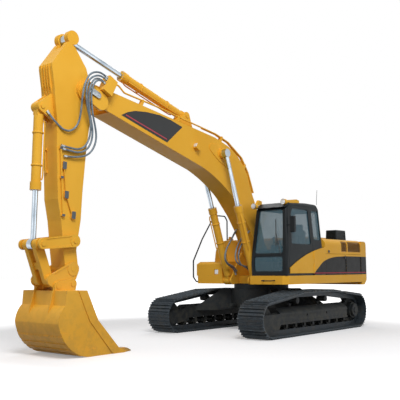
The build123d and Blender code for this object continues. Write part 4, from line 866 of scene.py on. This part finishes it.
for seatPart in ("bellows", "pan", "shell"):
    seatPiece = profilePiece("seat_" + seatPart, seatSetup[seatPart], seatSetup["middle"],
                             seatSetup["halfWidths"][seatPart], mouldedRubber if seatPart == "bellows"
                             else grainedTrim, "house")
    if seatPart == "pan":
        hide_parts("seat")
for padName, padValues in seatSetup["pads"].items():
    stuffedPad(padName, *padValues)
for stalkSide in (-60, 60):
    stalkRoute = [onMachine(a, seatSetup["middle"] + stalkSide, b) for a, b in seatSetup["stalks"]]
    tube("headrest_stalk_" + ("right" if stalkSide < 0 else "left"), stalkRoute, 0.007, platedSteel, "house")
print("seat made")


# lamp lenses: pressed glass in a moulded ring

# lens thickness, how far in and out each of its steps lies, and its ring's radius; then the square lens
lens = {"deep": 0.012, "inset": 0.35, "steps": (0.005, 0.002), "ring": 0.006, "squareDeep": 0.008,
        "squareEdge": 0.003}


def roundLens(name, place, radius, body):
    deselectAll()
    bpy.ops.mesh.primitive_cylinder_add(vertices=40, radius=radius, depth=lens["deep"])
    glass = bpy.context.object
    for face in glass.data.polygons:
        face.select = face.normal.z > 0.9
    bpy.ops.object.mode_set(mode="EDIT")
    bpy.ops.mesh.select_mode(type="FACE")
    for step in lens["steps"]:
        bpy.ops.mesh.inset(thickness=radius * lens["inset"])
        bpy.ops.transform.translate(value=(0, 0, step))
    bpy.ops.object.mode_set(mode="OBJECT")
    settle(copyTo(glass, [(place, (1, 0, 0))]), name + "_lens", lampGlass, body, 40)
    discard(glass)
    deselectAll()
    bpy.ops.mesh.primitive_torus_add(major_radius=radius, minor_radius=lens["ring"], major_segments=40,
                                     minor_segments=10)
    ring = bpy.context.object
    settle(copyTo(ring, [(place, (1, 0, 0))]), name + "_ring", mouldedRubber, body, 60)
    discard(ring)


def squareLens(name, place, along, up, half, body):
    # rounded square with a low raised middle
    corner = half * 0.8
    outline = ((half, -corner), (half, corner), (corner, half), (-corner, half), (-half, corner),
               (-half, -corner), (-corner, -half), (corner, -half))
    piece = sheetPlate(outline, place, along, up, lens["squareDeep"], lens["squareEdge"])
    settle(piece, name + "_lens", lampGlass, body, 40)


roundLens("roof_lamp_inner", Vector((-0.7815, .555, 2.885)), 0.058, "house")
roundLens("roof_lamp_outer", Vector((-0.9065, 1.27, 2.95)), 0.058, "house")
squareLens("box_lamp", Vector((-0.926, -.66, 1.39)), Vector((0, 1, 0)), Vector((0, 0, 1)), 0.056, "house")
squareLens("boom_lamp", onBoom(3240, 282, 845), sideways, boomUp, 0.044, "boom")
print("lamp lenses made")


# cylinders: bolts round the glands, and a steel pipe with straps along each barrel

cylinders = {
    # body; foot pin; rod eye; across; gland's end; barrel radius; bolt circle; pipe from and to
    "boom_left": ("boom_barrels", (-1.0325, 1.185), (0.002, 4.0372), .375, 1.80, .086, .083, (.78, 1.62)),
    "boom_right": ("boom_barrels", (-1.0325, 1.185), (0.002, 4.0372), -.375, 1.80, .086, .083, (.78, 1.62)),
    "stick": ("stick_barrel", (1.0426, 4.7381), (4.2007, 5.5976), 0.0, 1.89, .093, .088, (.28, 1.72)),
    "bucket": ("bucket_barrel", (4.7708, 4.2507), (4.8325, 1.8849), 0.0, 1.45, .083, .080, (.25, 1.28)),
}
pipeSides = {"boom_left": ((0, 1, 0),), "boom_right": ((0, -1, 0),), "stick": ((0, 1, 0), (0, -1, 0)),
             "bucket": ((0, 1, 0),)}


# bolts round each gland, the pipe's radius, bend lengths and distances off the barrel, and the straps
dressing = {"bolts": 10, "bolt": 0.009, "pipe": 0.013, "seat": 0.010, "off": 0.030, "ramp": 0.05,
            "straight": 0.15, "straps": (0.2, 0.75), "strap": 0.008, "strapOff": 0.006, "strapWide": 2.2,
            "sideShare": 0.75, "frontShare": 0.66}


def dressCylinder(name, body, foot, eye, across, glandEnd, radius, circle, pipe):
    start = Vector((foot[0], across, foot[1]))
    along = (Vector((eye[0], across, eye[1])) - start).normalized()
    over = along.cross(sideways)
    places = []
    for turn in range(dressing["bolts"]):
        angle = math.radians(360 / dressing["bolts"] * turn)
        spoke = (sideways * math.cos(angle) + over * math.sin(angle)) * circle
        places.append((start + along * glandEnd + spoke, along))
    bolts(f"{name}_gland_bolts", places, dressing["bolt"], body, platedSteel)
    for side in pipeSides[name]:
        out = (Vector(side) * dressing["sideShare"] - over * dressing["frontShare"]).normalized()
        word = "left" if side[1] > 0 else "right"
        near, far = radius + dressing["seat"], radius + dressing["off"]
        ramp, straight = dressing["ramp"], dressing["straight"]
        stations = ((pipe[0], near), (pipe[0] + ramp, far), (pipe[0] + straight, far),
                    (pipe[1] - straight, far), (pipe[1] - ramp, far), (pipe[1], near))
        route = [start + along * ahead + out * off for ahead, off in stations]
        tube(f"{name}_pipe_{word}", route, dressing["pipe"], machineEnamel, body)
    straps = []
    for share in dressing["straps"]:
        straps.append((start + along * (pipe[0] + (pipe[1] - pipe[0]) * share), along))
    deselectAll()
    bpy.ops.mesh.primitive_torus_add(major_radius=radius + dressing["strapOff"],
                                     minor_radius=dressing["strap"], major_segments=40, minor_segments=8)
    ring = bpy.context.object
    bpy.ops.transform.resize(value=(1, 1, dressing["strapWide"]))
    bpy.ops.object.transform_apply(scale=True)
    settle(copyTo(ring, straps), f"{name}_straps", machineEnamel, body, 50)
    discard(ring)


for cylinderName, cylinderValues in cylinders.items():
    dressCylinder(cylinderName, *cylinderValues)
print("cylinders dressed")


# retainer plate over the pin at the boom's nose, on the left

def stadium(first, second, half, steps=8):
    # outline of a plate with round ends about two points
    ends = Vector(second) - Vector(first)
    heading = math.atan2(ends.y, ends.x)
    outline = []
    for middle, start in ((second, -90), (first, 90)):
        for step in range(steps + 1):
            angle = heading + math.radians(start + 180 * step / steps)
            outline.append((middle[0] + half * math.cos(angle), middle[1] + half * math.sin(angle)))
    return outline


retainers = {"nose": {"first": (5938, 58), "second": (6132, 34), "half": 55.0, "out": 320.0, "thick": 12.0}}


def retainer(name, setup):
    outline = [(a * millimetre, b * millimetre) for a, b in
               stadium(setup["first"], setup["second"], setup["half"])]
    piece = sheetPlate(outline, onBoom(0, setup["out"], 0), boomAhead, boomUp, -setup["thick"] * millimetre,
                       0.002)
    settle(piece, f"{name}_retainer_left", platedSteel, "boom", 30)
    places = [(onBoom(a, setup["out"] + setup["thick"], b), (0, 1, 0))
              for a, b in (setup["first"], setup["second"])]
    bolts(f"{name}_retainer_bolts_left", places, 0.017, "boom", platedSteel)


for retainerName, retainerValues in retainers.items():
    retainer(retainerName, retainerValues)
print("retainers made")


# small pieces outside the cab and along the housing's side

def rodPiece(name, route, radius, material, body="house"):
    return tube(name, [Vector(place) for place in route], radius, material, body)


rodPiece("antenna", ((-2.34, 1.30, 2.975), (-2.345, 1.30, 3.08), (-2.36, 1.30, 3.2), (-2.38, 1.30, 3.335)),
         0.005, mouldedRubber)
rodPiece("step_bar", ((-.72, .86, 1.20), (-.60, .86, 1.19), (-.575, .90, 1.19), (-.575, 1.10, 1.19),
                      (-.60, 1.14, 1.19), (-.72, 1.14, 1.20)), 0.012, chassisEnamel)


# windscreen wiper: an arm from its pivot, and the blade against the glass
screen = {"ahead": 1080.0, "foot": 1790.0, "lean": 0.1386}      # the glass leans back by this share


def onScreen(across, height, out):
    return onMachine(screen["ahead"] - screen["lean"] * (height - screen["foot"]) + out, across, height)


rodPiece("wiper_arm", (onScreen(1300, 1775, 22), onScreen(1290, 1830, 24), onScreen(1200, 2080, 24),
                       onScreen(1130, 2290, 16)), 0.007, mouldedRubber)
rodPiece("wiper_blade", (onScreen(1160, 1960, 8), onScreen(1135, 2200, 9), onScreen(1105, 2560, 8)), 0.008,
         mouldedRubber)


def facePlate(name, ahead, height, halfLong, halfHigh, out, thick, material, body, slot):
    # small rounded plate on the left side
    cut = min(halfLong, halfHigh) * 0.5
    outline = ((halfLong, -halfHigh + cut), (halfLong, halfHigh - cut), (halfLong - cut, halfHigh),
               (-halfLong + cut, halfHigh), (-halfLong, halfHigh - cut), (-halfLong, -halfHigh + cut),
               (-halfLong + cut, -halfHigh), (halfLong - cut, -halfHigh))
    piece = sheetPlate(outline, Vector((ahead, out, height)), Vector((-1, 0, 0)), Vector((0, 0, 1)), thick,
                       0.0015)
    return settle(piece, name, material, body, 30)


sidePlates = {
    # ahead, height, half length, half height, face, thickness, material, body
    "housing_latch": (-2.5575, 1.863, .036, .030, 1.4832, .006, grainedTrim, "house"),
    "front_door_latch": (-3.3725, 1.73, .022, .042, 1.4832, .006, grainedTrim, "left_front_door"),
}
for plateName, plateValues in sidePlates.items():
    facePlate(plateName, *plateValues, "cab_black")
print("side plates made")
